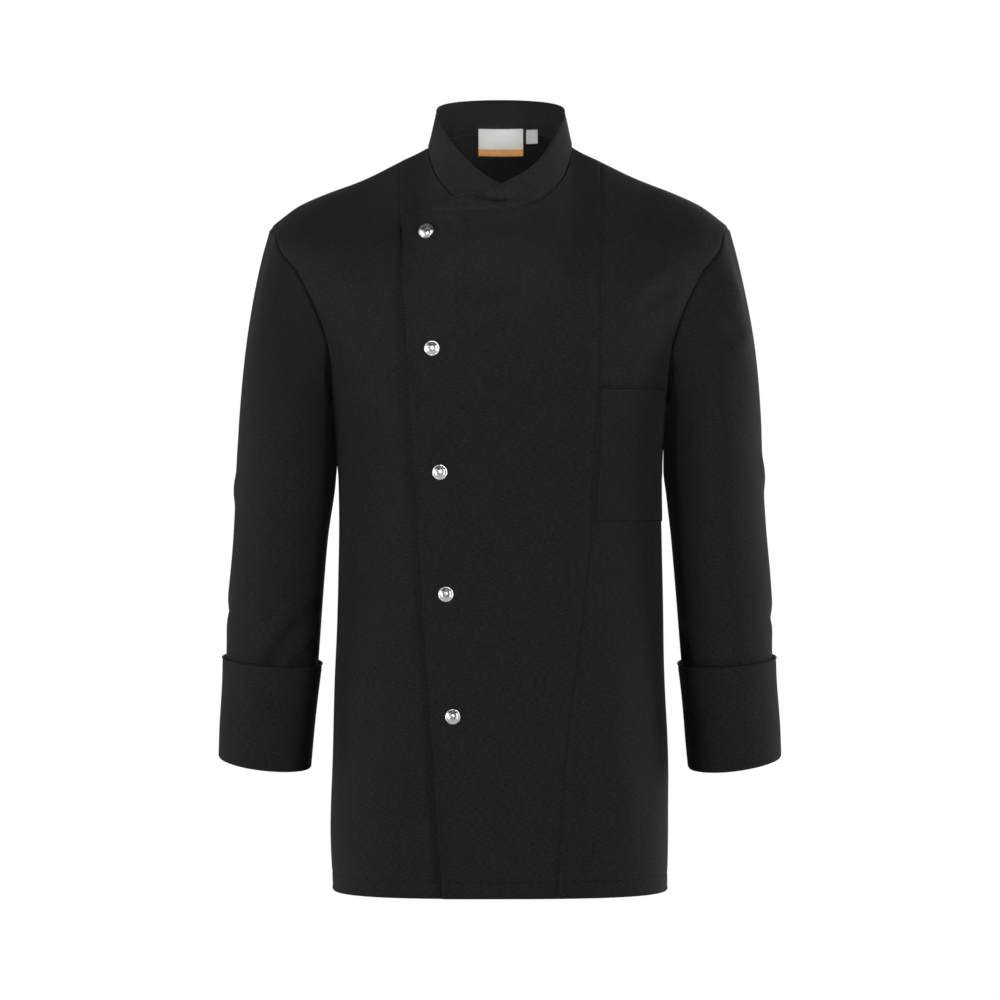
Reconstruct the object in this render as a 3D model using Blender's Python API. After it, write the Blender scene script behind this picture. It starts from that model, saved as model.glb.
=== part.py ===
"""A long-sleeved chef jacket, hollow as it hangs on its wearer: a wrap-over front closed by five press
studs, a stand collar whose ends cross, set-in sleeves with turned-back cuffs, and one chest pocket.

Metres, +Z up. X runs to the wearer's left, and the front faces -Y. The origin lies midway between the
two points where the shoulder seams meet the collar, where the wearer's shoulders carry the jacket.
One form holds the whole outer surface, laid out as the panels are cut. Each panel is cut from it, trimmed
along its seams and given the thickness of the cloth.
"""

import math
from collections import namedtuple

import bmesh
import bpy
from mathutils import Vector
from mathutils.bvhtree import BVHTree

# The cloth and how it is put together.
CLOTH = 0.0015  # thickness of a made-up panel
SEAM_GAP = 0.0003  # between neighbours
LAP = 0.0039  # step from the under front to the front that laps over it
LAP_HALF_WIDTH = 0.100  # the step is shared out over this much on either side of the centre line
LAP_FADES = 0.045  # the step runs out over this distance from the shoulder line
SLOPE_STEP = 0.0005
CUFF_LOOSE = 0.0023  # how far the turned-back cuff stands off the sleeve
SHARPEST = 1.3  # most that a folded seam may thicken the cloth

# Heights and widths of the cut.
HEM = -0.761
ARMPIT = -0.270
NECK_HALF = 0.0735  # half of the neck opening, at the shoulder seams
NECK_FRONT = 0.0708  # drop of the neckline at the centre front
NECK_BACK = 0.0200  # rise of the neckline at the centre back
SEAM_AT_SHOULDER = 0.103  # where the panel seams start on the shoulder seam
SHOULDER_TIP = 0.235
ARMHOLE_MIDDLE = -0.175
ARMHOLE_HALF = 0.095
ARMHOLE_FRONT = 0.073  # how far the armhole reaches forwards of the shoulder seam
ARMHOLE_BACK = 0.080

# The body's section at each height: a rounded oblong, deeper in front than behind.
Level = namedtuple("Level", "height half_width front back square")
LEVELS = (
    Level(-0.761, 0.1722, 0.140, 0.122, 3.0),
    Level(-0.700, 0.1736, 0.137, 0.120, 2.9),
    Level(-0.560, 0.1697, 0.129, 0.110, 2.7),
    Level(-0.450, 0.1665, 0.123, 0.102, 2.6),
    Level(-0.340, 0.1653, 0.121, 0.104, 2.6),
    Level(-0.300, 0.1672, 0.121, 0.109, 2.6),
    Level(-0.270, 0.1705, 0.121, 0.112, 2.6),
    Level(-0.225, 0.1825, 0.1205, 0.115, 2.6),
    Level(-0.183, 0.2000, 0.119, 0.117, 2.6),
    Level(-0.132, 0.2305, 0.111, 0.117, 2.6),
    Level(-0.103, 0.2850, 0.106, 0.117, 2.6),
    Level(-0.080, 0.3900, 0.100, 0.117, 2.6),
    Level(-0.020, 0.5000, 0.092, 0.115, 2.6),
    Level(0.045, 0.5000, 0.086, 0.112, 2.6),
)

# The top line of the shoulders, and how the cloth turns over it: the drop over which it turns and how
# squarely. Over the neck the line runs on as an arch, so that the form closes there too.
Shoulder = namedtuple("Shoulder", "out height front_round back_round front_power back_power")
SHOULDERS = (
    Shoulder(0.000, 0.0380, 0.140, 0.075, 1.25, 1.60),
    Shoulder(0.030, 0.0335, 0.140, 0.075, 1.25, 1.60),
    Shoulder(0.052, 0.0235, 0.140, 0.077, 1.25, 1.60),
    Shoulder(0.0735, 0.000, 0.140, 0.090, 1.25, 1.60),
    Shoulder(0.103, -0.0144, 0.130, 0.098, 1.35, 1.60),
    Shoulder(0.140, -0.032, 0.118, 0.095, 1.50, 1.60),
    Shoulder(0.1813, -0.0484, 0.105, 0.092, 1.60, 1.60),
    Shoulder(0.206, -0.0597, 0.096, 0.090, 1.60, 1.60),
    Shoulder(0.2245, -0.073, 0.091, 0.090, 1.60, 1.60),
    Shoulder(0.235, -0.080, 0.090, 0.090, 1.60, 1.60),
    Shoulder(0.260, -0.110, 0.090, 0.090, 1.60, 1.60),
)

# The panel seams of the fronts, and the edges of the two fronts, measured from the centre line.
Cut = namedtuple("Cut", "height left_seam right_seam lap_edge under_edge")
CUTS = (
    Cut(-0.761, 0.0565, 0.0525, 0.0565, 0.038),
    Cut(-0.6157, 0.0670, 0.0615, 0.0660, 0.048),
    Cut(-0.4637, 0.0850, 0.0715, 0.0762, 0.056),
    Cut(-0.3916, 0.0920, 0.0760, 0.0800, 0.058),
    Cut(-0.2085, 0.0997, 0.0880, 0.0920, 0.054),
    Cut(-0.120, 0.1020, 0.0955, 0.0970, 0.036),
    Cut(-0.0755, 0.1030, 0.1015, 0.0994, 0.030),
    Cut(-0.0144, 0.1030, 0.1030, 0.1000, 0.030),
)
LAP_CORNER = 0.0055  # drop of the lapping front's top edge from the centre line to its corner
UNDER_CORNER = 0.0040

# The collar's top edge: an oval over the neck, and then the end that lies across the front.
COLLAR_HALF = 0.065
COLLAR_FRONT = 0.0755
COLLAR_BACK = 0.058
COLLAR_SIDE_HEIGHT = 0.036
COLLAR_BACK_RISE = 0.018
COLLAR_FRONT_DROP = 0.079
COLLAR_APART = 1.6  # the crossed collar ends lie this much further apart than the fronts
COLLAR_PROUD = 0.0009  # how far the lapping end's free edge stands off the chest
COLLAR_UNDER_DROP = 0.004  # drop of the hidden end's top corner
CollarEnd = namedtuple("CollarEnd", "out height")
COLLAR_ENDS = (
    CollarEnd(0.000, -0.0460),
    CollarEnd(0.010, -0.0512),
    CollarEnd(0.037, -0.0567),
    CollarEnd(0.0546, -0.0628),
    CollarEnd(0.075, -0.0699),
    CollarEnd(0.088, -0.0722),
)

# The left sleeve from its cuff to where it leaves the armhole, as ovals that lean with the arm.
Oval = namedtuple("Oval", "height out half_width half_depth rise_outwards rise_backwards")
SLEEVE = (
    Oval(-0.631, 0.2418, 0.0455, 0.0520, 0.125, 0.120),
    Oval(-0.595, 0.2398, 0.0467, 0.0535, 0.105, 0.105),
    Oval(-0.528, 0.2342, 0.0475, 0.0575, 0.070, 0.080),
    Oval(-0.467, 0.2308, 0.0483, 0.0620, 0.045, 0.050),
    Oval(-0.405, 0.2260, 0.0490, 0.0670, 0.020, 0.020),
    Oval(-0.343, 0.2210, 0.0510, 0.0720, 0.000, 0.000),
    Oval(-0.300, 0.2195, 0.0500, 0.0750, 0.000, 0.000),
)
SLEEVE_TOP = -0.300
SLEEVE_LEAVES = Vector((0.33, 0.0, -0.944))  # direction in which the sleeve leaves the armhole
SLEEVE_HANGS = Vector((0.03, 0.0, -1.0))
CUFF_FOLD = -0.6330  # the cuff's lowest fold, under the end of the sleeve
CUFF_LIP = -0.0015  # how far that fold reaches inwards past the sleeve's outer face

# Steps of the grids.
BODY_HEIGHTS = (HEM, -0.700, -0.625, -0.550, -0.467, -0.385, -0.328)
ARMHOLE_TURNS = (0, 19, 36, 57, 78, 96, 110, 123, 137, 155, 180)  # degrees from the underarm
NECK_STEPS = 6
SHOULDER_STEPS = 2
SIDE_SHARES = (0.0, 0.05, 0.24, 0.44, 0.64, 0.84, 1.0)
LAP_SHARES = (1.0, 0.885, 0.70, 0.50, 0.30, 0.13)
UNDER_SHARES = (0.22, 0.60, 1.0)
COLLAR_SHARES = (0.0, 0.35, 0.70, 1.0)
HEAD_STEPS = 6
SLEEVE_HEIGHTS = (-0.631, -0.595, -0.560, -0.528, -0.475, -0.420, -0.360)
CUFF_HEIGHTS = (-0.631, -0.595, -0.560, -0.528)
PATH_STEPS = 48  # fine steps along a row before it is shared out evenly

# What is sewn on or set into the panels.
POCKET_COLUMNS = (0.05, 0.84)  # shares of the side panel's width
POCKET_BOTTOM = -0.385
POCKET_TOP_TURN = 36
POCKET_CLOTH = 0.0012
PATCH_GAP = 0.0004
Label = namedtuple("Label", "name left right drop hang")
LABELS = (
    Label("neck_label", -0.0226, 0.0242, 0.027, 0.18),
    Label("size_tag", 0.0268, 0.0390, 0.014, 0.10),
)
LABEL_CLOTH = 0.0010
LABEL_CLEAR = 0.0007
LABEL_FEELS = (-0.001, 0.0, 0.001, 0.002)  # drops below the neck seam where a label's clearance is taken
LABEL_STEPS = 4
Stud = namedtuple("Stud", "out height")
STUDS = (
    Stud(-0.0739, -0.0922),
    Stud(-0.0680, -0.2105),
    Stud(-0.0600, -0.3346),
    Stud(-0.0540, -0.4567),
    Stud(-0.0470, -0.5787),
)
STUD_SIDES = 14
STUD_FEELS = 0.02  # height above the cloth from which its rim feels for the cloth
STUD_PROFILE = ((0.0076, 0.0), (0.0076, 0.0008), (0.0068, 0.0012), (0.0048, 0.0024), (0.0022, 0.0030))

PIECES = (
    "front_left",
    "side_front_left",
    "back_left",
    "back_right",
    "side_front_right",
    "front_right",
    "collar",
    "sleeve_left",
    "sleeve_right",
)


def smooth(table, at, column):
    """Read a column of a table between its rows, on a curve that never overshoots them."""
    last = len(table) - 1
    if at <= table[0][0]:
        return table[0][column]
    if at >= table[last][0]:
        return table[last][column]
    i = max(k for k in range(last) if table[k][0] <= at)

    def slope(k):
        return (table[k + 1][column] - table[k][column]) / (table[k + 1][0] - table[k][0])

    def tangent(k):
        if k in (0, last):
            return slope(min(k, last - 1))
        before, after = slope(k - 1), slope(k)
        return 0.0 if before * after <= 0 else 2 * before * after / (before + after)

    span = table[i + 1][0] - table[i][0]
    t = (at - table[i][0]) / span
    return (
        table[i][column] * (1 + 2 * t) * (1 - t) ** 2
        + table[i + 1][column] * t * t * (3 - 2 * t)
        + span * tangent(i) * t * (1 - t) ** 2
        - span * tangent(i + 1) * t * t * (1 - t)
    )


def ease(share):
    """0 to 1, flat at both ends."""
    share = min(1.0, max(0.0, share))
    return share * share * (3 - 2 * share)


def shoulder_height(x):
    """The height of the top line at a place across the shoulders."""
    return smooth(SHOULDERS, abs(x), 1)


def stands_out(x, z, back):
    """How far the cloth stands in front of the shoulder line at a place in the front view, or behind it."""
    width, front, rear, square = (smooth(LEVELS, z, column) for column in (1, 2, 3, 4))
    across = max(0.0, 1 - (abs(x) / width) ** square) ** (1 / square)
    turn = smooth(SHOULDERS, abs(x), 3 if back else 2)
    power = smooth(SHOULDERS, abs(x), 5 if back else 4)
    below = min(1.0, max(0.0, (shoulder_height(x) - z) / turn))
    over = (1 - (1 - below) ** power) ** (1 / power)
    return (rear if back else front) * across * over


def on_form(x, z, back):
    return Vector((x, stands_out(x, z, back) * (1 if back else -1), z))


def outwards(x, z):
    """The direction square to the front's face."""
    slope_x = stands_out(x + SLOPE_STEP, z, False) - stands_out(x - SLOPE_STEP, z, False)
    slope_z = stands_out(x, z + SLOPE_STEP, False) - stands_out(x, z - SLOPE_STEP, False)
    return Vector((-slope_x, -2 * SLOPE_STEP, -slope_z)).normalized()


def lap_step(point, layer):
    """How far a front point moves out where the left front (layer 1) laps over, or in beneath it."""
    under_share = ease((point.x + LAP_HALF_WIDTH) / (2 * LAP_HALF_WIDTH))
    return (1 - under_share if layer > 0 else -under_share) * LAP * ease(-point.y / LAP_FADES)


def lifted(point, layer):
    """Move a point on the front's face into its own layer."""
    return point + outwards(point.x, point.z) * lap_step(point, layer)


def lifted_level(point, layer):
    """Move a point of the standing collar into its own layer."""
    return point - Vector((0, lap_step(point, layer) * COLLAR_APART, 0))


# Rows of the body. Up to the armpit a row is level, and above it the rows bend towards the top edge.
Row = namedtuple("Row", "base share")


def height(row, top):
    """The height of a row where the panel's top edge is at a given height."""
    level = row.base + (-NECK_FRONT - row.base) * row.share
    return level + (top + NECK_FRONT) * row.share**3


def share_at(z, top):
    """The share of the row that passes a height where the top edge is at another."""
    low, high = 0.0, 1.0
    for _ in range(60):
        middle = (low + high) / 2
        if height(Row(ARMPIT, middle), top) < z:
            low = middle
        else:
            high = middle
    return high


def armhole(degrees, back):
    """A point of the left armhole, from the underarm at 0 to the tip of the shoulder at 180."""
    if degrees == 0:
        return Vector((smooth(LEVELS, ARMPIT, 1), 0, ARMPIT))
    if degrees == 180:
        return Vector((SHOULDER_TIP, 0, shoulder_height(SHOULDER_TIP)))
    turn = math.radians(degrees)
    z = ARMHOLE_MIDDLE - ARMHOLE_HALF * math.cos(turn)
    reach = (ARMHOLE_BACK if back else ARMHOLE_FRONT) * math.sin(turn)
    near, far = SEAM_AT_SHOULDER, 0.3
    for _ in range(60):
        x = (near + far) / 2
        if stands_out(x, z, back) > reach:
            near = x
        else:
            far = x
    return on_form(near, z, back)


def body_rows(back):
    """The rows of the front or the back, each with the width at which it ends."""
    rows = [(Row(z, 0.0), smooth(LEVELS, z, 1)) for z in BODY_HEIGHTS]
    for degrees in ARMHOLE_TURNS:
        end = armhole(degrees, back)
        share = {0: 0.0, 180: 1.0}.get(degrees, share_at(end.z, shoulder_height(end.x)))
        rows.append((Row(ARMPIT, share), end.x))
    return rows


def spaced(path, shares):
    """Points at the given shares of a path's length."""
    lengths = [0.0]
    for a, b in zip(path, path[1:]):
        lengths.append(lengths[-1] + (b - a).length)
    points = []
    for share in shares:
        want = share * lengths[-1]
        k = min(len(path) - 2, max(i for i, length in enumerate(lengths) if length <= want + 1e-12))
        run = lengths[k + 1] - lengths[k]
        points.append(path[k].lerp(path[k + 1], (want - lengths[k]) / run if run else 0.0))
    points[0], points[-1] = path[0], path[-1]
    return points


def seam_width(row, column):
    return smooth(CUTS, height(row, shoulder_height(SEAM_AT_SHOULDER)), column)


def middle_points(row, back, seam):
    """Points of a row from the centre line to the panel seam."""
    neck = seam * NECK_HALF / SEAM_AT_SHOULDER
    points = []
    for step in range(NECK_STEPS + 1):
        turn = math.pi / 2 * step / NECK_STEPS
        top = NECK_BACK * math.cos(turn) ** 2 if back else -NECK_FRONT * math.cos(turn)
        points.append(on_form(neck * math.sin(turn), height(row, top if step < NECK_STEPS else 0.0), back))
    for step in range(1, SHOULDER_STEPS + 1):
        x = neck + (seam - neck) * step / SHOULDER_STEPS
        points.append(on_form(x, height(row, shoulder_height(max(x, NECK_HALF))), back))
    return points


def side_points(row, back, seam, end):
    """Points of a row from the panel seam to the side seam or the armhole."""
    path = []
    for step in range(PATH_STEPS + 1):
        x = seam + (end - seam) * math.sin(math.pi / 2 * step / PATH_STEPS)
        path.append(on_form(x, height(row, shoulder_height(x)), back))
    return spaced(path, SIDE_SHARES)


def edge_points(row, shares, column, corner):
    """Points of a front from the centre line towards its own free edge, drawn at x above 0."""
    edge = smooth(CUTS, height(row, -NECK_FRONT), column)
    points = []
    for share in shares:
        top = -NECK_FRONT - corner * share
        points.append(on_form(edge * share, height(row, top), False))
    return points


def mirrored(points):
    """The same points on the other side, in the order that keeps the cloth's face outwards."""
    return [Vector((-p.x, p.y, p.z)) for p in reversed(points)]


def panels():
    """Each body panel's rows of points, from hem to top, running anticlockwise seen from above."""
    made = {name: [] for name in PIECES[:6]}
    for row, end in body_rows(back=False):
        left, right = seam_width(row, 1), seam_width(row, 2)
        lap = [Vector((-p.x, p.y, p.z)) for p in edge_points(row, LAP_SHARES, 3, LAP_CORNER)]
        made["front_left"].append([lifted(p, 1) for p in lap + middle_points(row, False, left)])
        made["side_front_left"].append([lifted(p, 1) for p in side_points(row, False, left, end)])
        under = edge_points(row, UNDER_SHARES, 4, UNDER_CORNER)
        middle = mirrored(middle_points(row, False, right))
        made["front_right"].append([lifted(p, -1) for p in middle + under])
        made["side_front_right"].append([lifted(p, -1) for p in mirrored(side_points(row, False, right, end))])
    for row, end in body_rows(back=True):
        seam = seam_width(row, 1)
        half = middle_points(row, True, seam) + side_points(row, True, seam, end)[1:]
        made["back_right"].append([Vector((-p.x, p.y, p.z)) for p in half])
        made["back_left"].append(list(reversed(half)))
    return made


def collar_top(turn, back, layer):
    """A point of the collar's top edge over the neck, turn going from the centre line to the side."""
    cosine = max(0.0, math.cos(turn))
    x = COLLAR_HALF * math.sin(turn)
    if back:
        rise = COLLAR_BACK_RISE * cosine**0.7
        return Vector((x, COLLAR_BACK * cosine, COLLAR_SIDE_HEIGHT + rise))
    drop = COLLAR_FRONT_DROP * cosine**1.6
    point = Vector((x * layer, -COLLAR_FRONT * cosine, COLLAR_SIDE_HEIGHT - drop))
    return lifted_level(point, layer)


def collar_columns(made):
    """The collar as columns of points from its seam up, from the lapping end round to the end beneath."""
    turns = [math.pi / 2 * step / NECK_STEPS for step in range(NECK_STEPS + 1)]
    laps = len(LAP_SHARES)
    columns = []
    seam = made["front_left"][-1]
    for k in range(1, laps):
        columns.append(lying_column(seam[k]))
    for k, turn in enumerate(turns):
        columns.append(standing_column(seam[laps + k], collar_top(turn, False, 1)))
    seam = made["back_left"][-1][-1 - NECK_STEPS :]
    for k, turn in enumerate(reversed(turns[:-1]), 1):
        columns.append(standing_column(seam[k], collar_top(turn, True, 1)))
    seam = made["back_right"][-1]
    for k, turn in enumerate(turns[1:], 1):
        top = collar_top(turn, True, 1)
        columns.append(standing_column(seam[k], Vector((-top.x, top.y, top.z))))
    seam = made["front_right"][-1]
    first = len(seam) - 1 - len(UNDER_SHARES) - NECK_STEPS
    for k, turn in enumerate(reversed(turns[:-1]), 1):
        columns.append(standing_column(seam[first + k], collar_top(turn, False, -1)))
    end = seam[first + NECK_STEPS + 1]
    top = collar_top(math.asin(end.x / COLLAR_HALF), False, 1)
    corner = Vector((top.x, -COLLAR_FRONT, top.z - COLLAR_UNDER_DROP))
    columns.append(standing_column(end, lifted_level(corner, -1)))
    return columns


def standing_column(seam, top):
    return [seam.lerp(top, share) for share in COLLAR_SHARES]


def lying_column(seam):
    """A column of the collar's lapping end, which lies on the chest."""
    top = max(smooth(COLLAR_ENDS, -seam.x, 1), seam.z + 0.0015)
    column = [seam.copy()]
    for share in COLLAR_SHARES[1:]:
        point = on_form(seam.x, seam.z + (top - seam.z) * share, False)
        column.append(lifted(point, 1) + outwards(point.x, point.z) * COLLAR_PROUD * share)
    return column


def sleeve_oval(z, turn, back, grow=0.0):
    """A point on the sleeve's oval, turn going from the inner side to the outer side."""
    out, wide, deep, rise_out, rise_back = (smooth(SLEEVE, z, column) for column in range(1, 6))
    across = -(wide + grow) * math.cos(turn)
    along = (deep + grow) * math.sin(turn) * (1 if back else -1)
    return Vector((out + across, along, z + rise_out * across + rise_back * along))


def sleeve_turns():
    """The sleeve's columns round from the underarm, through the front to the shoulder and back behind."""
    front = [(degrees, False) for degrees in ARMHOLE_TURNS]
    return front + [(degrees, True) for degrees in reversed(ARMHOLE_TURNS[:-1])]


def sleeve_rows():
    rows = []
    for z in SLEEVE_HEIGHTS:
        rows.append([sleeve_oval(z, math.radians(d), back) for d, back in sleeve_turns()])
    for step in range(HEAD_STEPS + 1):
        t = step / HEAD_STEPS
        row = []
        for degrees, back in sleeve_turns():
            low = sleeve_oval(SLEEVE_TOP, math.radians(degrees), back)
            high = armhole(degrees, back)
            third = (high - low).length / 3
            near_low, near_high = low - SLEEVE_HANGS * third, high + SLEEVE_LEAVES * third
            row.append(
                low * (1 - t) ** 3 + near_low * 3 * t * (1 - t) ** 2 + near_high * 3 * t * t * (1 - t) + high * t**3
            )
        rows.append(row)
    return rows


def lay_grid(form, rows, number=0):
    """Add a grid to the form, and put its points where the rows say."""
    across, up = len(rows[0]) - 1, len(rows) - 1
    tag = form.faces.layers.int["piece"]
    for vert in bmesh.ops.create_grid(form, x_segments=across, y_segments=up, size=1.0)["verts"]:
        column = round((vert.co.x + 1) / 2 * across)
        row = round((vert.co.y + 1) / 2 * up)
        vert.co = rows[row][column]
        for face in vert.link_faces:
            face[tag] = number


def new_form():
    form = bmesh.new()
    form.faces.layers.int.new("piece")
    form.verts.layers.float_vector.new("out")
    return form


def close_form(form):
    """Join the grids along their seams, and note at each point which way is out."""
    bmesh.ops.remove_doubles(form, verts=form.verts, dist=1e-5)
    form.normal_update()
    out = form.verts.layers.float_vector["out"]
    for vert in form.verts:
        vert[out] = vert.normal * min(vert.calc_shell_factor(), SHARPEST)


def trim_edges(piece, amount):
    """Draw every free edge of a sheet back by the same amount, within the sheet."""
    out = piece.verts.layers.float_vector["out"]
    moves = {}
    for vert in piece.verts:
        inwards = []
        for edge in vert.link_edges:
            if edge.is_boundary:
                direction = vert[out].cross(edge.other_vert(vert).co - vert.co).normalized()
                centre = edge.link_faces[0].calc_center_median()
                inwards.append(direction if direction.dot(centre - vert.co) > 0 else -direction)
        if len(inwards) == 2:
            moves[vert] = (inwards[0] + inwards[1]) * amount / max(0.4, 1 + inwards[0].dot(inwards[1]))
    for vert, move in moves.items():
        vert.co += move


def cut_piece(form, number, thickness=CLOTH, proud=0.0):
    """Cut one piece out of a form and give it a thickness inwards, from a face that may stand proud."""
    piece = form.copy()
    tag = piece.faces.layers.int["piece"]
    bmesh.ops.delete(piece, geom=[face for face in piece.faces if face[tag] != number], context="FACES")
    out = piece.verts.layers.float_vector["out"]
    for vert in piece.verts:
        vert.co += vert[out] * proud
    trim_edges(piece, SEAM_GAP / 2)
    made = bmesh.ops.extrude_face_region(piece, geom=piece.faces[:])
    for vert in made["geom"]:
        if isinstance(vert, bmesh.types.BMVert):
            vert.co -= vert[out] * thickness
    bmesh.ops.recalc_face_normals(piece, faces=piece.faces)
    return piece


def add_object(name, shape, material):
    mesh = bpy.data.meshes.new(name)
    shape.to_mesh(mesh)
    shape.free()
    mesh.materials.append(material)
    mesh.shade_smooth()
    mesh.set_sharp_from_angle(angle=math.radians(40))
    made = bpy.data.objects.new(name, mesh)
    bpy.context.scene.collection.objects.link(made)
    return made


def finish(name, colour, roughness, metallic=0.0):
    material = bpy.data.materials.new(name)
    material.use_nodes = True
    shader = material.node_tree.nodes["Principled BSDF"]
    shader.inputs["Base Color"].default_value = (*colour, 1.0)
    shader.inputs["Roughness"].default_value = roughness
    shader.inputs["Metallic"].default_value = metallic
    return material


def body_form():
    """The whole outer surface of the body, the collar and the sleeves."""
    form = new_form()
    made = panels()
    for number, name in enumerate(PIECES[:6]):
        lay_grid(form, made[name], number)
    columns = collar_columns(made)
    lay_grid(form, [list(row) for row in zip(*columns)], PIECES.index("collar"))
    sleeve = sleeve_rows()
    lay_grid(form, sleeve, PIECES.index("sleeve_left"))
    lay_grid(form, [mirrored(row) for row in sleeve], PIECES.index("sleeve_right"))
    close_form(form)
    return form


def tag_pocket(form, number):
    """Mark the faces of the left side front that the pocket covers."""
    tag = form.faces.layers.int["piece"]
    side = PIECES.index("side_front_left")
    low = BODY_HEIGHTS.index(POCKET_BOTTOM)
    high = len(BODY_HEIGHTS) + ARMHOLE_TURNS.index(POCKET_TOP_TURN)
    first, last = (SIDE_SHARES.index(share) for share in POCKET_COLUMNS)
    rows = panels()["side_front_left"][low : high + 1]
    covered = {tuple(round(v, 5) for v in p) for row in rows for p in row[first : last + 1]}
    for face in form.faces:
        if face[tag] == side and all(tuple(round(v, 5) for v in vert.co) in covered for vert in face.verts):
            face[tag] = number


def make_pocket(form, material):
    number = len(PIECES)
    patch = form.copy()
    tag_pocket(patch, number)
    add_object("chest_pocket", cut_piece(patch, number, POCKET_CLOTH, POCKET_CLOTH + PATCH_GAP), material)


def make_cuffs(material):
    """Turned-back cuffs: a band outside each sleeve, folded in under the sleeve's end."""
    rows = [[sleeve_oval(CUFF_FOLD, math.radians(d), back, CUFF_LIP) for d, back in sleeve_turns()]]
    for z in (CUFF_FOLD,) + CUFF_HEIGHTS[1:]:
        rows.append([sleeve_oval(z, math.radians(d), back, CUFF_LOOSE) for d, back in sleeve_turns()])
    for name, cuff in (("cuff_left", rows), ("cuff_right", [mirrored(row) for row in rows])):
        form = new_form()
        lay_grid(form, cuff)
        close_form(form)
        add_object(name, cut_piece(form, 0), material)
        form.free()


def surface_of(made):
    return BVHTree.FromObject(made, bpy.context.evaluated_depsgraph_get())


def make_labels(walls, material):
    """Labels caught in the seam at the back of the neck, hanging inside clear of the cloth."""
    trees = [surface_of(wall) for wall in walls]
    for label in LABELS:
        rows = [[], []]
        for step in range(LABEL_STEPS + 1):
            x = label.left + (label.right - label.left) * step / LABEL_STEPS
            top = NECK_BACK * (1 - (x / NECK_HALF) ** 2)
            starts = [Vector((x, 0, top - drop)) for drop in LABEL_FEELS]
            hits = [tree.ray_cast(start, Vector((0, 1, 0)))[0] for tree in trees for start in starts]
            wall = min(hit.y for hit in hits if hit)
            edge = Vector((x, wall - LABEL_CLEAR - LABEL_CLOTH, top))
            rows[1].append(edge)
            rows[0].append(edge + Vector((0, label.drop * label.hang, -label.drop)))
        form = new_form()
        lay_grid(form, rows)
        close_form(form)
        add_object(label.name, cut_piece(form, 0, LABEL_CLOTH), material)
        form.free()


def make_stud(number, place, facing, material):
    """A press stud's domed cap, seated on the lapping front."""
    shape = bmesh.new()
    bmesh.ops.create_circle(shape, segments=STUD_SIDES, radius=STUD_PROFILE[0][0], cap_ends=True)
    for (radius, level), (last_radius, last_level) in zip(STUD_PROFILE[1:], STUD_PROFILE):
        top = max(shape.faces, key=lambda face: face.calc_center_median().z)
        grown = bmesh.ops.extrude_face_region(shape, geom=[top])["geom"]
        if last_level > 0:
            bmesh.ops.delete(shape, geom=[top], context="FACES_ONLY")
        for vert in grown:
            if isinstance(vert, bmesh.types.BMVert):
                vert.co.x *= radius / last_radius
                vert.co.y *= radius / last_radius
                vert.co.z += level - last_level
    bmesh.ops.recalc_face_normals(shape, faces=shape.faces)
    stud = add_object(f"stud_{number}", shape, material)
    stud.location = place + facing * SEAM_GAP
    stud.rotation_mode = "QUATERNION"
    stud.rotation_quaternion = facing.to_track_quat("Z", "Y")
    return stud


def make_studs(front, material):
    """Seat the studs on the highest place of the lapping front that their rims touch."""
    tree = surface_of(front)
    for number, stud in enumerate(STUDS, 1):
        place = tree.ray_cast(Vector((stud.out, -1.0, stud.height)), Vector((0, 1, 0)))[0]
        facing = outwards(stud.out, stud.height)
        turned = facing.to_track_quat("Z", "Y")
        highest = 0.0
        for step in range(STUD_SIDES):
            turn = 2 * math.pi * step / STUD_SIDES
            rim = Vector((math.cos(turn), math.sin(turn), 0)) * STUD_PROFILE[0][0]
            start = place + turned @ rim + facing * STUD_FEELS
            highest = max(highest, STUD_FEELS - tree.ray_cast(start, -facing)[3])
        make_stud(number, place + facing * highest, facing, material)


def main():
    for item in list(bpy.data.objects):
        bpy.data.objects.remove(item)
    cloth = finish("cloth", (0.016, 0.017, 0.019), 0.85)
    metal = finish("stud_metal", (0.62, 0.63, 0.62), 0.25, 1.0)
    label = finish("label", (0.80, 0.79, 0.76), 0.75)
    form = body_form()
    made = {}
    for number, name in enumerate(PIECES):
        made[name] = add_object(name, cut_piece(form, number), cloth)
    make_pocket(form, cloth)
    form.free()
    make_cuffs(cloth)
    make_labels([made["collar"], made["back_left"], made["back_right"]], label)
    make_studs(made["front_left"], metal)


main()
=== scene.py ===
"""A black chef jacket, hollow as it hangs on its wearer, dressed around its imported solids.

Metres, +Z up. X runs to the wearer's left, and the front faces -Y. The origin lies midway between the two
points where the shoulder seams meet the collar. One form, worked out from the sizes of the cut, gives the
outer face of every panel. The folds and the seams' dips are raised on it, each panel is laid on it as a
grid, and the grid gets the thickness of the cloth and rounded edges.
"""

from __future__ import annotations

import logging
import math
from collections.abc import Iterable, Sequence
from dataclasses import dataclass, field
from enum import Enum

import bmesh
import bpy
import numpy as np
from mathutils import Matrix, Vector
from mathutils.bvhtree import BVHTree


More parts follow.
